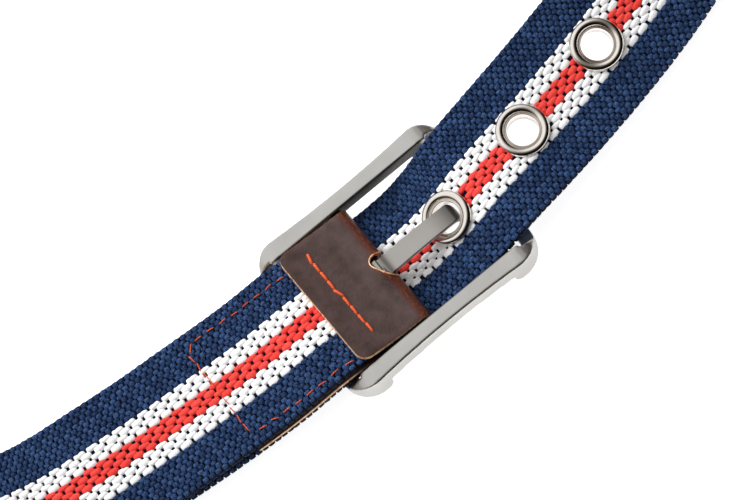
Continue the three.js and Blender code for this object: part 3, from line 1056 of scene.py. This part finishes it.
@dataclass
class LeatherTab:
    """Leather folded round the centre bar: a long flap below, a short one on top and a slot for the prong."""

    path: StrapPath
    width: float = 40.0
    top_flap: float = 21.0
    corner: float = 3.3
    turn_lead: float = 4.2
    turn_points: int = 25
    hump_high: float = 1.45
    hump_place: tuple[float, float] = (0.6, -1.6)
    hump_spread: tuple[float, float] = (2.4, 4.4)
    slot_rows: tuple[tuple[float, float], ...] = (
        (-10.0, 3.7),
        (-1.2, 3.7),
        (0.2, 3.5),
        (1.2, 2.7),
        (1.65, 1.4),
        (1.3, 0.0),
        (0.6, -1.2),
        (0.0, -2.4),
        (-0.5, -3.7),
        (-1.3, -4.8),
        (-2.6, -5.1),
        (-10.0, -5.1),
    )
    cell: tuple[float, float] = (0.7, 1.3)
    edge_round: float = 0.34
    rim_radius: float = 0.2
    rim_sides: int = 6
    rim_sink: float = 0.2
    fold_back: float = 0.8
    fold_wear: float = 2.1
    slot_wear: tuple[float, float] = (0.8, 1.1)
    edge_wear: tuple[float, float] = (0.5, 0.6)

    @property
    def wrap_radius(self) -> float:
        """Radius of the leather's middle round the bar."""
        return self.path.bar_radius + self.path.gap + self.path.leather / 2

    @property
    def flap_step(self) -> float:
        """Distance from the strap's middle to the leather's middle."""
        return self.path.thick / 2 + self.path.gap + self.path.leather / 2

    def middle_line(self) -> tuple[ARRAY, ARRAY, ARRAY, int]:
        """Follow the leather's middle from the bottom flap's end, round the bar, to the top flap's end.

        Returns:
            Places, directions to +Y, directions out of the fold, and the row at the top of the bar.
        """
        turn = self.path.bar_offset - self.wrap_radius - self.turn_lead
        bottom_end = self.path.bar_offset - self.path.bottom_flap
        top_end = self.path.bar_offset - self.top_flap

        def flap(xs: ARRAY, sign: int) -> tuple[ARRAY, ARRAY, ARRAY]:
            """Follow a flap along the sewn end of the strap.

            Args:
                xs: Places along the buckle.
                sign: One for the top flap, minus one for the bottom flap.

            Returns:
                Places, directions to +Y and directions out of the fold.
            """
            runs = [self.path.run_at(float(x), False) for x in xs]
            place, _, across, out = self.path.frames(np.array(runs))
            return place + out * sign * self.flap_step, across, out * sign

        low = flap(np.linspace(bottom_end, turn, 60), -1)
        count = self.turn_points
        angles = np.linspace(-math.pi / 2, math.pi / 2, count)
        out = np.stack([np.cos(angles), np.zeros(count), np.sin(angles)], -1)
        middle = np.array([self.path.bar_offset, 0, self.path.bar_level])
        bend = (middle + out * self.wrap_radius, np.tile([0.0, 1.0, 0.0], (count, 1)), out)
        high = flap(np.linspace(turn, top_end, 24), 1)
        place, across, away = (np.concatenate(parts) for parts in zip(low, bend, high))
        return place, across, away, len(low[0]) + count - 1

    def build(self) -> None:
        """Cut the flat hide, punch its slot, trim its corners and fold it."""
        place, across, away, top_row = self.middle_line()
        runs = np.concatenate([[0.0], np.cumsum(np.linalg.norm(np.diff(place, axis=0), axis=1))])
        length, top_of_bar = float(runs[-1]), runs[top_row]
        cells = (int(length / self.cell[0]), int(self.width / self.cell[1]))
        piece = flat_sheet("tab_hide", (length, self.width, self.path.leather), cells)
        outline = self.slot_outline() + [top_of_bar, 0.0]
        self.cut_slot(piece, outline)
        self.round_corners(piece, length)
        edge = {"width": self.edge_round, "segments": 2, "limit_method": "ANGLE"}
        edge["angle_limit"] = math.radians(50)
        apply_modifier(piece, "BEVEL", edge)
        flat = read_points(piece)
        self.dress_faces(piece)
        put_uv(piece, "hide_mm", flat)
        put_value(piece, "wear", self.wear_at(flat, outline, length, top_of_bar))

        def fold_over(points: ARRAY) -> ARRAY:
            """Take points of the flat hide to the folded one in the scene.

            Args:
                points: Rows of length along the hide, offset across and offset out.

            Returns:
                Rows of x, y and z in metres.
            """
            away_x = (points[:, 0] - top_of_bar - self.hump_place[0]) / self.hump_spread[0]
            away_y = (points[:, 1] - self.hump_place[1]) / self.hump_spread[1]
            hump = self.hump_high * np.exp(-(away_x**2) - away_y**2)
            at = np.clip(points[:, 0], 0, length)
            line, wide, out = (
                np.stack([np.interp(at, runs, part[:, k]) for k in range(3)], -1)
                for part in (place, across, away)
            )
            return self.path.to_scene(line + wide * points[:, 1:2] + out * (points[:, 2] + hump)[:, None])

        write_points(piece, fold_over(flat))
        raw = RawEdgeFinish().build()
        self.build_rim(outline, fold_over, raw)
        with edit_all(piece):
            turn_outward()
        finish_piece(piece, [LeatherFinish().build(), raw], ("leather_tab",))

    def wear_at(self, flat: ARRAY, outline: ARRAY, length: float, top_of_bar: float) -> ARRAY:
        """Find how far the hide is rubbed: on the fold, round the slot and along its edges.

        Args:
            flat: Points of the flat hide.
            outline: The slot's outline on it.
            length: The hide's whole length.
            top_of_bar: Length along the hide where the fold meets the top of the bar.

        Returns:
            A number from nothing to one for each point.
        """
        from_fold = flat[:, 0] - top_of_bar + self.fold_back * self.wrap_radius
        from_side = self.width / 2 - np.abs(flat[:, 1])
        from_edge = np.minimum(from_side, np.minimum(flat[:, 0], length - flat[:, 0]))
        from_slot = np.linalg.norm(flat[:, None, :2] - outline[None], axis=2).min(axis=1)
        wear = np.exp(-((from_fold / self.fold_wear) ** 4))
        wear += self.slot_wear[0] * np.exp(-((from_slot / self.slot_wear[1]) ** 2))
        wear += self.edge_wear[0] * np.exp(-from_edge / self.edge_wear[1])
        return np.clip(wear, 0, 1)

    def build_rim(self, outline: ARRAY, fold_over: Callable[[ARRAY], ARRAY], raw: MATERIAL) -> None:
        """Lay the slot's raised raw edge: a fine roll of pale fibres round its top.

        Args:
            outline: The slot's outline on the flat hide.
            fold_over: Takes points of the flat hide to the folded one.
            raw: The cut edge's material.
        """
        sides = self.rim_sides
        steps = np.roll(outline, -1, axis=0) - np.roll(outline, 1, axis=0)
        steps /= np.linalg.norm(steps, axis=1, keepdims=True)
        side = np.stack([-steps[:, 1], steps[:, 0]], -1)
        angle = np.linspace(0, 2 * math.pi, sides, endpoint=False)
        spot = outline[:, None] + side[:, None] * (self.rim_radius * np.cos(angle))[None, :, None]
        level = self.path.leather / 2 + self.rim_radius * (np.sin(angle) - self.rim_sink)
        heights = np.broadcast_to(level[None, :, None], (*spot.shape[:2], 1))
        flat = np.concatenate([spot, heights], -1).reshape(-1, 3)
        first = np.arange(len(outline))[:, None] * sides + np.arange(sides)[None]
        after = np.roll(first, -1, axis=0)
        corners = [first, after, np.roll(after, -1, axis=1), np.roll(first, -1, axis=1)]
        rim = mesh_from("slot_rim", fold_over(flat), np.stack(corners, -1).reshape(-1, 4))
        put_uv(rim, "hide_mm", flat)
        with edit_all(rim):
            turn_outward()
        finish_piece(rim, [raw])

    def slot_outline(self) -> ARRAY:
        """Round the slot's rows into a smooth outline.

        Returns:
            Points of the outline, from the bar's top towards the flap's end and across.
        """
        rows = np.array(self.slot_rows)
        for _ in range(3):
            after = np.roll(rows, -1, axis=0)
            rows = np.stack([0.75 * rows + 0.25 * after, 0.25 * rows + 0.75 * after], 1).reshape(-1, 2)
        return rows

    def cut_slot(self, piece: PIECE, outline: ARRAY) -> None:
        """Punch the prong's slot.

        Args:
            piece: The flat hide.
            outline: The slot's outline on the flat hide.
        """
        reach = 3.0
        deselect()
        bpy.ops.mesh.primitive_circle_add(vertices=len(outline), radius=1, fill_type="NGON")
        punch = bpy.context.object
        write_points(punch, np.column_stack([outline, np.full(len(outline), -reach)]))
        with edit_all(punch):
            bpy.ops.mesh.extrude_region_move(TRANSFORM_OT_translate={"value": (0, 0, 2 * reach)})
            turn_outward()
        cut_with(piece, punch)

    def round_corners(self, piece: PIECE, length: float) -> None:
        """Trim the top flap's two corners round.

        Args:
            piece: The flat hide.
            length: The hide's whole length.
        """
        past, sliver, tall = 40.0, 0.001, 6.0
        deselect()
        bpy.ops.mesh.primitive_cube_add(size=1, location=((length - past) / 2, 0, 0))
        trim = bpy.context.object
        trim.scale = (length + past, self.width - sliver, tall)
        bpy.ops.object.transform_apply(location=False, rotation=False, scale=True)
        with edit_all(trim):
            bpy.ops.mesh.select_mode(type="EDGE")
            bpy.ops.mesh.select_all(action="DESELECT")
        for edge in trim.data.edges:
            ends = [trim.data.vertices[i].co for i in edge.vertices]
            edge.select = abs(ends[0].z - ends[1].z) > 1 and ends[0].x > 0
        bpy.ops.object.mode_set(mode="EDIT")
        bpy.ops.mesh.bevel(offset=self.corner, segments=8, affect="EDGES")
        bpy.ops.object.mode_set(mode="OBJECT")
        cut_with(piece, trim, "INTERSECT")

    @staticmethod
    def dress_faces(piece: PIECE) -> None:
        """Give the cut edges the raw material and the two faces the dyed one.

        Args:
            piece: The flat hide.
        """
        normals = np.empty(len(piece.data.polygons) * 3)
        piece.data.polygons.foreach_get("normal", normals)
        upright = np.abs(normals.reshape(-1, 3)[:, 2]) > 0.97
        while len(piece.data.materials) < 2:
            piece.data.materials.append(None)
        piece.data.polygons.foreach_set("material_index", np.where(upright, 0, 1).astype(np.int32))


@dataclass
class Hardware:
    """Buckle frame, prong and eyelets."""

    path: StrapPath
    eyelet_runs: list[float]
    eyelet_radius: float = 7.7
    hole_radius: float = 4.45
    barrel_wall: float = 0.55
    groove_wide: float = 0.08
    dome: float = 1.15
    dome_foot: float = 0.15
    dome_extra: float = 0.1
    lip_high: float = 0.45
    lip_foot: float = 0.35
    skin: float = 0.05
    washer_thick: float = 0.5
    back_roll: float = 0.6
    ease: float = 0.15
    arm: tuple[float, float] = (3.4, 24.1)
    arm_spring: float = 0.45
    # Painted shade on the prong: spans and weights of its darker tip and root
    tip_painted_shade: tuple[float, float] = (17.0, 25.4)
    root_painted_shade: tuple[float, float] = (2.2, 1.1)
    painted_shade_weights: tuple[float, float] = (0.85, 0.75)
    # Painted shade on the frame: reach and fade of the darkened channel walls
    channel_side: tuple[float, float] = (27.0, 21.4)
    channel_fade: tuple[float, float] = (1.5, 0.5)
    sides: int = 96

    @staticmethod
    def soften(node: str, name: str, voxel: float, rounds: int) -> PIECE:
        """Copy a cast or bent node, and tumble its edges round.

        Args:
            node: The CAD node.
            name: The new piece's name.
            voxel: Cell size of the new skin, in millimetres.
            rounds: Rounds of smoothing.

        Returns:
            The piece.
        """
        piece = bpy.data.objects.new(name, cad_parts[node].data.copy())
        bpy.context.scene.collection.objects.link(piece)
        with edit_all(piece):
            bpy.ops.mesh.remove_doubles(threshold=0.00001)
        apply_modifier(piece, "REMESH", {"mode": "VOXEL", "voxel_size": voxel * MM})
        apply_modifier(piece, "SMOOTH", {"factor": 0.5, "iterations": rounds})
        return piece

    def build_frame(self, casting: MATERIAL) -> None:
        """Build the cast frame, with painted shade in the channels beside the strap.

        Args:
            casting: The casting's material.
        """
        piece = self.soften("buckle_frame", "frame_casting", 0.3, 9)
        # Painted shade: darken the rails' inner walls inside the channel
        away = np.abs(read_points(piece) / MM - self.path.shift)
        near_end, near_rail = (
            np.clip((self.channel_side[k] - away[:, k]) / self.channel_fade[k], 0, 1) for k in range(2)
        )
        put_value(piece, "painted_shade_share", near_rail * near_end)
        finish_piece(piece, [casting], ("buckle_frame",))

    def build_prong(self, strip: MATERIAL) -> None:
        """Build the bent prong, its arm sprung up a little between its two bends, with painted shade towards
        its tip and at its root.

        Args:
            strip: The strip's material.
        """
        piece = self.soften("prong", "prong_strip", 0.17, 5)
        points = read_points(piece)
        reach = points[:, 0] / MM - self.path.shift[0] - self.path.bar_offset
        share = np.clip((reach - self.arm[0]) / (self.arm[1] - self.arm[0]), 0, 1)
        points[:, 2] += 4 * self.arm_spring * MM * share * (1 - share)
        write_points(piece, points)
        # Painted shade: darker towards the tip, where it bends down into the eyelet, and at the bent root
        toward_tip = np.clip((reach - self.tip_painted_shade[0]) / (self.tip_painted_shade[1] - self.tip_painted_shade[0]), 0, 1)
        at_root = np.exp(-(((reach - self.root_painted_shade[0]) / self.root_painted_shade[1]) ** 2))
        painted_shade_share = self.painted_shade_weights[0] * toward_tip**1.5 + self.painted_shade_weights[1] * at_root
        put_value(piece, "painted_shade_share", np.clip(painted_shade_share, 0, 1))
        finish_piece(piece, [strip], ("prong",))

    def spin_profile(self, name: str, profile: list[tuple[float, float]]) -> PIECE:
        """Turn a closed profile round the Z axis.

        Args:
            name: The piece's name.
            profile: Radius and height of each point, in order round the section.

        Returns:
            The turned piece, in millimetres round the origin.
        """
        deselect()
        bpy.ops.mesh.primitive_circle_add(vertices=len(profile), radius=1, fill_type="NOTHING")
        piece = bpy.context.object
        piece.name = name
        write_points(piece, np.array([(radius, 0.0, height) for radius, height in profile]))
        with edit_all(piece):
            bpy.ops.mesh.spin(steps=self.sides, angle=2 * math.pi, center=(0, 0, 0), axis=(0, 0, 1))
            bpy.ops.mesh.select_all(action="SELECT")
            bpy.ops.mesh.remove_doubles(threshold=0.001)
            bpy.ops.mesh.normals_make_consistent(inside=False)
        return piece

    def eyelet_profile(self) -> list[tuple[float, float]]:
        """Draw an eyelet's section: domed flange, groove, rolled inner lip, barrel and back roll.

        Returns:
            Radius and height of each point.
        """
        face = self.path.thick / 2 + self.skin
        back = -self.path.thick / 2 - self.path.gap - self.washer_thick - self.path.gap
        rim, hole = self.eyelet_radius, self.hole_radius
        barrel = hole + self.barrel_wall
        groove = barrel + self.groove_wide
        half, foot = (rim - groove) / 2, face + self.dome_foot
        dome = [
            (groove + half + half * math.cos(a), foot + (self.dome + self.dome_extra) * math.sin(a))
            for a in np.linspace(0, math.radians(172), 14)
        ]
        lip_round = (groove - hole) / 2
        lip = [
            (hole + lip_round * (1 + math.cos(a)), face + self.lip_foot + self.lip_high * math.sin(a))
            for a in np.linspace(math.radians(5), math.radians(185), 10)
        ]
        curl, low = self.back_roll, back - self.skin
        roll = [
            (barrel + (curl + self.skin) * math.cos(a), low + curl * math.sin(a))
            for a in np.linspace(math.radians(200), math.radians(360), 7)
        ]
        return [*dome, *lip, *roll, (barrel, back + 0.1), (barrel, face), (rim - 0.1, face)]

    def washer_profile(self) -> list[tuple[float, float]]:
        """Draw a washer's section with eased corners.

        Returns:
            Radius and height of each point.
        """
        top = -self.path.thick / 2 - 0.1
        low = top - self.washer_thick - 0.2
        inner, rim, ease = self.hole_radius + self.barrel_wall + 0.1, self.eyelet_radius, self.ease
        return [
            (inner, low + ease),
            (inner + ease, low),
            (rim - ease, low),
            (rim, low + ease),
            (rim, top - ease),
            (rim - ease, top),
            (inner + ease, top),
            (inner, top - ease),
        ]

    def set_on_strap(self, piece: PIECE, run: float) -> None:
        """Set a turned piece on the strap.

        Args:
            piece: The piece, in millimetres round the origin.
            run: Running length of its middle.
        """
        place, along, across, out = (part[0] for part in self.path.frames(np.array([run])))
        turned = read_points(piece) @ np.stack([along, across, out])
        write_points(piece, self.path.to_scene(turned + place))

    def build_eyelets(self, nickel: MATERIAL) -> None:
        """Build every eyelet and its washer.

        Args:
            nickel: The plating's material.
        """
        for index, run in enumerate(self.eyelet_runs, start=1):
            for name, profile, node in (
                ("eyelet_front", self.eyelet_profile(), "eyelet"),
                ("eyelet_back", self.washer_profile(), "eyelet_washer"),
            ):
                piece = self.spin_profile(f"{name}_{index}", profile)
                self.set_on_strap(piece, run)
                finish_piece(piece, [nickel], (f"{node}_{index}",))


@dataclass(frozen=True)
class Sewing:
    """How one seam line is sewn: its stitch pitch, the share that shows and how deep the ends dip."""

    pitch: float
    cover: float
    sink: float


@dataclass
class Stitching:
    """Hand-laid seams: a cross seam on the tab and a three-sided seam on the strap over the bottom flap."""

    path: StrapPath
    cross_x: float = -18.7
    cross_ends: tuple[tuple[float, float], tuple[float, float]] = ((-0.65, 15.7), (0.4, -14.4))
    cross_sewing: Sewing = Sewing(3.4, 1.16, 0.55)
    cross_radius: float = 0.48
    far_x: float = -60.2
    near_x: float = -26.5
    edge: float = 16.0
    skew: float = 1.1
    slant: float = 2.2
    cut_corner: tuple[float, float] = (2.4, 2.6)
    low_corner: tuple[float, float] = (1.8, 1.2)
    side_sewing: Sewing = Sewing(4.28, 0.66, 0.5)
    corner_sewing: Sewing = Sewing(2.6, 0.9, 0.4)
    far_sewing: Sewing = Sewing(3.3, 0.96, 0.35)
    strap_radius: float = 0.17
    wander: tuple[float, float] = (0.1, 0.4)
    seed: int = 3

    @staticmethod
    def stitch(flat: ARRAY, radius: float, sides: int = 8) -> tuple[ARRAY, ARRAY, ARRAY]:
        """Make one stitch as an open tube through flat points.

        Args:
            flat: Points of its middle, in running length, across and out.
            radius: Half the thread's thickness.
            sides: Sides of the tube.

        Returns:
            Flat points of the tube, its quads and its UV places.
        """
        steps = np.diff(flat, axis=0, append=flat[-1:] + (flat[-1:] - flat[-2:-1]))
        steps /= np.linalg.norm(steps, axis=1, keepdims=True)
        side = np.cross(np.array([0.0, 0.0, 1.0]), steps)
        side /= np.linalg.norm(side, axis=1, keepdims=True)
        top = np.cross(steps, side)
        angle = np.linspace(0, 2 * math.pi, sides, endpoint=False)
        scale = np.ones(len(flat))
        scale[[0, -1]] = 0.35
        ring = side[:, None] * np.cos(angle)[None, :, None] + top[:, None] * np.sin(angle)[None, :, None]
        points = flat[:, None] + ring * radius * scale[:, None, None]
        run = np.concatenate([[0], np.cumsum(np.linalg.norm(np.diff(flat, axis=0), axis=1))])
        uv = np.stack(np.broadcast_arrays(run[:, None], angle[None] * radius), -1)
        first = np.arange(len(flat) - 1)[:, None] * sides + np.arange(sides)[None]
        beside = np.roll(first, -1, axis=1)
        quads = np.stack([first, beside, beside + sides, first + sides], -1)
        return points.reshape(-1, 3), quads.reshape(-1, 4), uv.reshape(-1, 2)

    def seam(self, name: str, stitches: list[ARRAY], radius: float, material: MATERIAL) -> None:
        """Join stitches into one seam on the strap, and close their ends.

        Args:
            name: The piece's name.
            stitches: Middle points of each stitch.
            radius: Half the thread's thickness.
            material: The thread's material.
        """
        points, quads, uvs, count = [], [], [], 0
        for middle in stitches:
            tube, faces, uv = self.stitch(middle, radius)
            points.append(tube)
            quads.append(faces + count)
            uvs.append(uv)
            count += len(tube)
        piece = mesh_from(name, self.path.bend(np.concatenate(points)), np.concatenate(quads))
        put_uv(piece, "thread_mm", np.concatenate(uvs))
        with edit_all(piece):
            bpy.ops.mesh.select_all(action="DESELECT")
            bpy.ops.mesh.select_non_manifold()
            bpy.ops.mesh.edge_face_add()
            turn_outward()
        finish_piece(piece, [material])

    def line(
        self, start: tuple, end: tuple, high: float, sewing: Sewing, rng: np.random.Generator
    ) -> list[ARRAY]:
        """Split a seam line into stitches that rise from the cloth and dip back into it.

        Args:
            start: Running length and offset across where the line starts.
            end: The same where it ends.
            high: The line's height over the strap's middle.
            sewing: How it is sewn.
            rng: Source of its small unevenness.

        Returns:
            Middle points of each stitch.
        """
        begin_at, end_at = (np.array([*spot, high]) for spot in (start, end))
        count = max(1, round(np.linalg.norm(end_at - begin_at) / sewing.pitch))
        step = (end_at - begin_at) / count
        unit = step / np.linalg.norm(step)
        side = np.array([-unit[1], unit[0], 0.0])
        shares = np.linspace(0, 1, 7)
        made = []
        for index in range(count):
            begin = begin_at + step * (index + (1 - sewing.cover) / 2)
            middle = begin + np.outer(shares, step * sewing.cover)
            middle[:, 2] -= sewing.sink * (np.abs(shares * 2 - 1) ** 3)
            shift = rng.normal(0, self.wander[0])
            middle += side * (shift + (shares[:, None] - 0.5) * rng.normal(0, self.wander[1]))
            made.append(middle)
        return made

    def build(self, thread: MATERIAL) -> None:
        """Sew both seams.

        Args:
            thread: The thread's material.
        """
        rng = np.random.default_rng(self.seed)
        path = self.path
        cross = path.run_at(self.cross_x, False)
        start, end = ((cross + along, across) for along, across in self.cross_ends)
        tab_top = path.thick / 2 + path.gap + path.leather + 0.15
        row = self.line(start, end, tab_top, self.cross_sewing, rng)
        self.seam("tab_cross_seam", row, self.cross_radius, thread)
        web_top = path.thick / 2 + 0.12
        far, near, edge = path.run_at(self.far_x, False), path.run_at(self.near_x, False), self.edge
        past = far - self.slant
        upper = (past + self.cut_corner[0], edge)
        outer = (past, edge - self.cut_corner[1])
        low = (far + self.low_corner[0], -edge)
        runs = [
            *self.line((near, edge - self.skew), upper, web_top, self.side_sewing, rng),
            *self.line(upper, outer, web_top, self.corner_sewing, rng),
            *self.line(outer, (far, self.low_corner[1] - edge), web_top, self.far_sewing, rng),
            *self.line(low, (near, -edge - self.skew), web_top, self.side_sewing, rng),
        ]
        self.seam("strap_seam", runs, self.strap_radius, thread)


@dataclass(frozen=True)
class Softbox:
    """One soft light: its direction from the buckle, distance and side in metres, and power in watts."""

    name: str
    toward: tuple[float, float, float]
    distance: float
    size: float
    power: float


@dataclass
class Studio:
    """Camera at the photograph's angle, a plain pale floor and soft light from the picture's upper left."""

    path: StrapPath
    azimuth: float = 0.0
    elevation: float = 68.0
    roll: float = 39.5
    distance: float = 700.0
    pixels_per_mm: float = 3.62
    target_height: float = 9.3
    target_pixel: tuple[float, float] = (392.7, 254.2)
    frame_pixels: tuple[int, int] = (750, 500)
    sensor_mm: float = 36.0
    floor_side: float = 6.0
    floor_level: float = -0.0002
    floor_glow: float = 0.85
    ceiling: tuple[float, float, float] = (-0.3, 0.72, 0.63)
    lights: tuple[Softbox, ...] = (
        Softbox("key_softbox", (-0.35, 1.0, 0.95), 1.5, 1.1, 28.0),
        Softbox("fill_softbox", (0.6, -1.0, 0.9), 1.8, 1.3, 7.0),
    )

    def axes(self) -> tuple[Vector, Vector, Vector]:
        """Find the camera's own axes.

        Returns:
            Its right, up and back directions.
        """
        a, e, r = (math.radians(v) for v in (self.azimuth, self.elevation, self.roll))
        back = Vector((math.sin(a) * math.cos(e), -math.cos(a) * math.cos(e), math.sin(e)))
        level = Vector((math.cos(a), math.sin(a), 0))
        rise = back.cross(level)
        right = level * math.cos(r) - rise * math.sin(r)
        up = level * math.sin(r) + rise * math.cos(r)
        return right, up, back

    def build_camera(self) -> None:
        """Make the camera."""
        right, up, back = self.axes()
        width, height = self.frame_pixels
        target = Vector((0, 0, self.target_height)) + Vector(self.path.shift)
        off_x = (self.target_pixel[0] - width / 2) / self.pixels_per_mm
        off_y = (self.target_pixel[1] - height / 2) / self.pixels_per_mm
        place = target + back * self.distance - right * off_x + up * off_y
        data = bpy.data.cameras.new("photo_camera")
        data.sensor_width = self.sensor_mm
        data.lens = self.pixels_per_mm * self.distance * self.sensor_mm / width
        data.clip_start, data.clip_end = 0.01, 10
        camera = bpy.data.objects.new("photo_camera", data)
        camera.matrix_world = Matrix.Translation(place * MM) @ Matrix((right, up, back)).transposed().to_4x4()
        bpy.context.scene.collection.objects.link(camera)
        bpy.context.scene.camera = camera

    def build_light(self, box: Softbox) -> None:
        """Make one soft light, which the metal doesn't mirror: only the studio's air shows in it.

        Args:
            box: The light.
        """
        data = bpy.data.lights.new(box.name, "AREA")
        data.shape = "SQUARE"
        data.size = box.size
        data.energy = box.power
        light = bpy.data.objects.new(box.name, data)
        direction = Vector(box.toward).normalized()
        light.location = direction * box.distance + Vector(self.path.shift) * MM
        light.rotation_mode = "QUATERNION"
        light.rotation_quaternion = direction.to_track_quat("Z", "Y")
        light.visible_glossy = False
        bpy.context.scene.collection.objects.link(light)

    def build(self) -> None:
        """Make the camera, the floor and the lights."""
        self.build_camera()
        deselect()
        bpy.ops.mesh.primitive_plane_add(size=self.floor_side, location=(0, 0, self.floor_level))
        floor = bpy.context.object
        floor.name = "studio_floor"
        constants = {
            "Base Color": srgb("c8c8c8"),
            "Roughness": 0.9,
            "Specular IOR Level": 0.1,
            "Emission Color": srgb("ffffff"),
            "Emission Strength": self.floor_glow,
        }
        floor.data.materials.append(new_material("white_paper_sweep", constants)[0])
        for box in self.lights:
            self.build_light(box)
        self.build_sky()
        bpy.context.scene.view_settings.view_transform = "Standard"

    def build_sky(self) -> None:
        """Make the studio's air: a white ceiling that darkens towards the walls and the camera's side."""
        world = bpy.data.worlds.new("studio_air")
        world.use_nodes = True
        tree = world.node_tree
        direction = add_node(tree, "ShaderNodeTexCoord").outputs["Generated"]
        settings = {"operation": "DOT_PRODUCT", 1: self.ceiling}
        height = add_node(tree, "ShaderNodeVectorMath", settings, {0: direction}).outputs["Value"]
        stops = ((0.0, "141211"), (0.3, "33271f"), (0.52, "8f8b87"), (0.74, "ffffff"))
        tree.links.new(colour_ramp(tree, height, stops), tree.nodes["Background"].inputs["Color"])
        tree.nodes["Background"].inputs["Strength"].default_value = 1.0
        bpy.context.scene.world = world


def main() -> None:
    """Build the belt's pieces and the studio round them."""
    logging.basicConfig(level=logging.INFO, format="%(name)s %(message)s")
    path = StrapPath()
    prong_reach, tip_half, tip_room, pitch, count = 26.7, 2.6, 0.4, 31.8, 4
    first = path.run_at(path.bar_offset + prong_reach - tip_half - tip_room, True)
    eyelet_runs = [first + index * pitch for index in range(count)]
    Studio(path).build()
    # The last colour of each yarn is its painted shade, where floats dive and on the ground
    navy = ("navy_spun_yarn", "111e38", "263b62", "4a6898", "0a1324")
    yarns = {
        Stripe.NAVY: YarnFinish(*navy, fibre_mm=0.26, bump_mm=0.3, low=0.38, high=0.64).build(),
        Stripe.WHITE: YarnFinish("white_spun_yarn", "f6f6f7", "fbfbfb", "ffffff", "eceef3").build(),
        Stripe.RED: YarnFinish("coral_spun_yarn", "e23b36", "f34741", "fc6158", "c62f2c").build(),
    }
    WovenStrap(path, eyelet_runs).build(yarns)
    LeatherTab(path).build()
    casting = MetalFinish("satin_plated_casting", "cdcbc7", "c3c1bd", 0.36, 0.05, 0.35, 0.02)
    strip = MetalFinish("satin_steel_strip", "b5b1ac", "aaa6a1", 0.3, 0.05, 0.3, 0.02)
    nickel = MetalFinish("buffed_nickel_plate", "f3eee8", "e6ded6", 0.12, 0.03, 0.6, 0.01)
    hardware = Hardware(path, eyelet_runs)
    hardware.build_frame(casting.build())
    hardware.build_prong(strip.build())
    hardware.build_eyelets(nickel.build())
    Stitching(path).build(ThreadFinish().build())


if __name__ == "__main__":
    main()
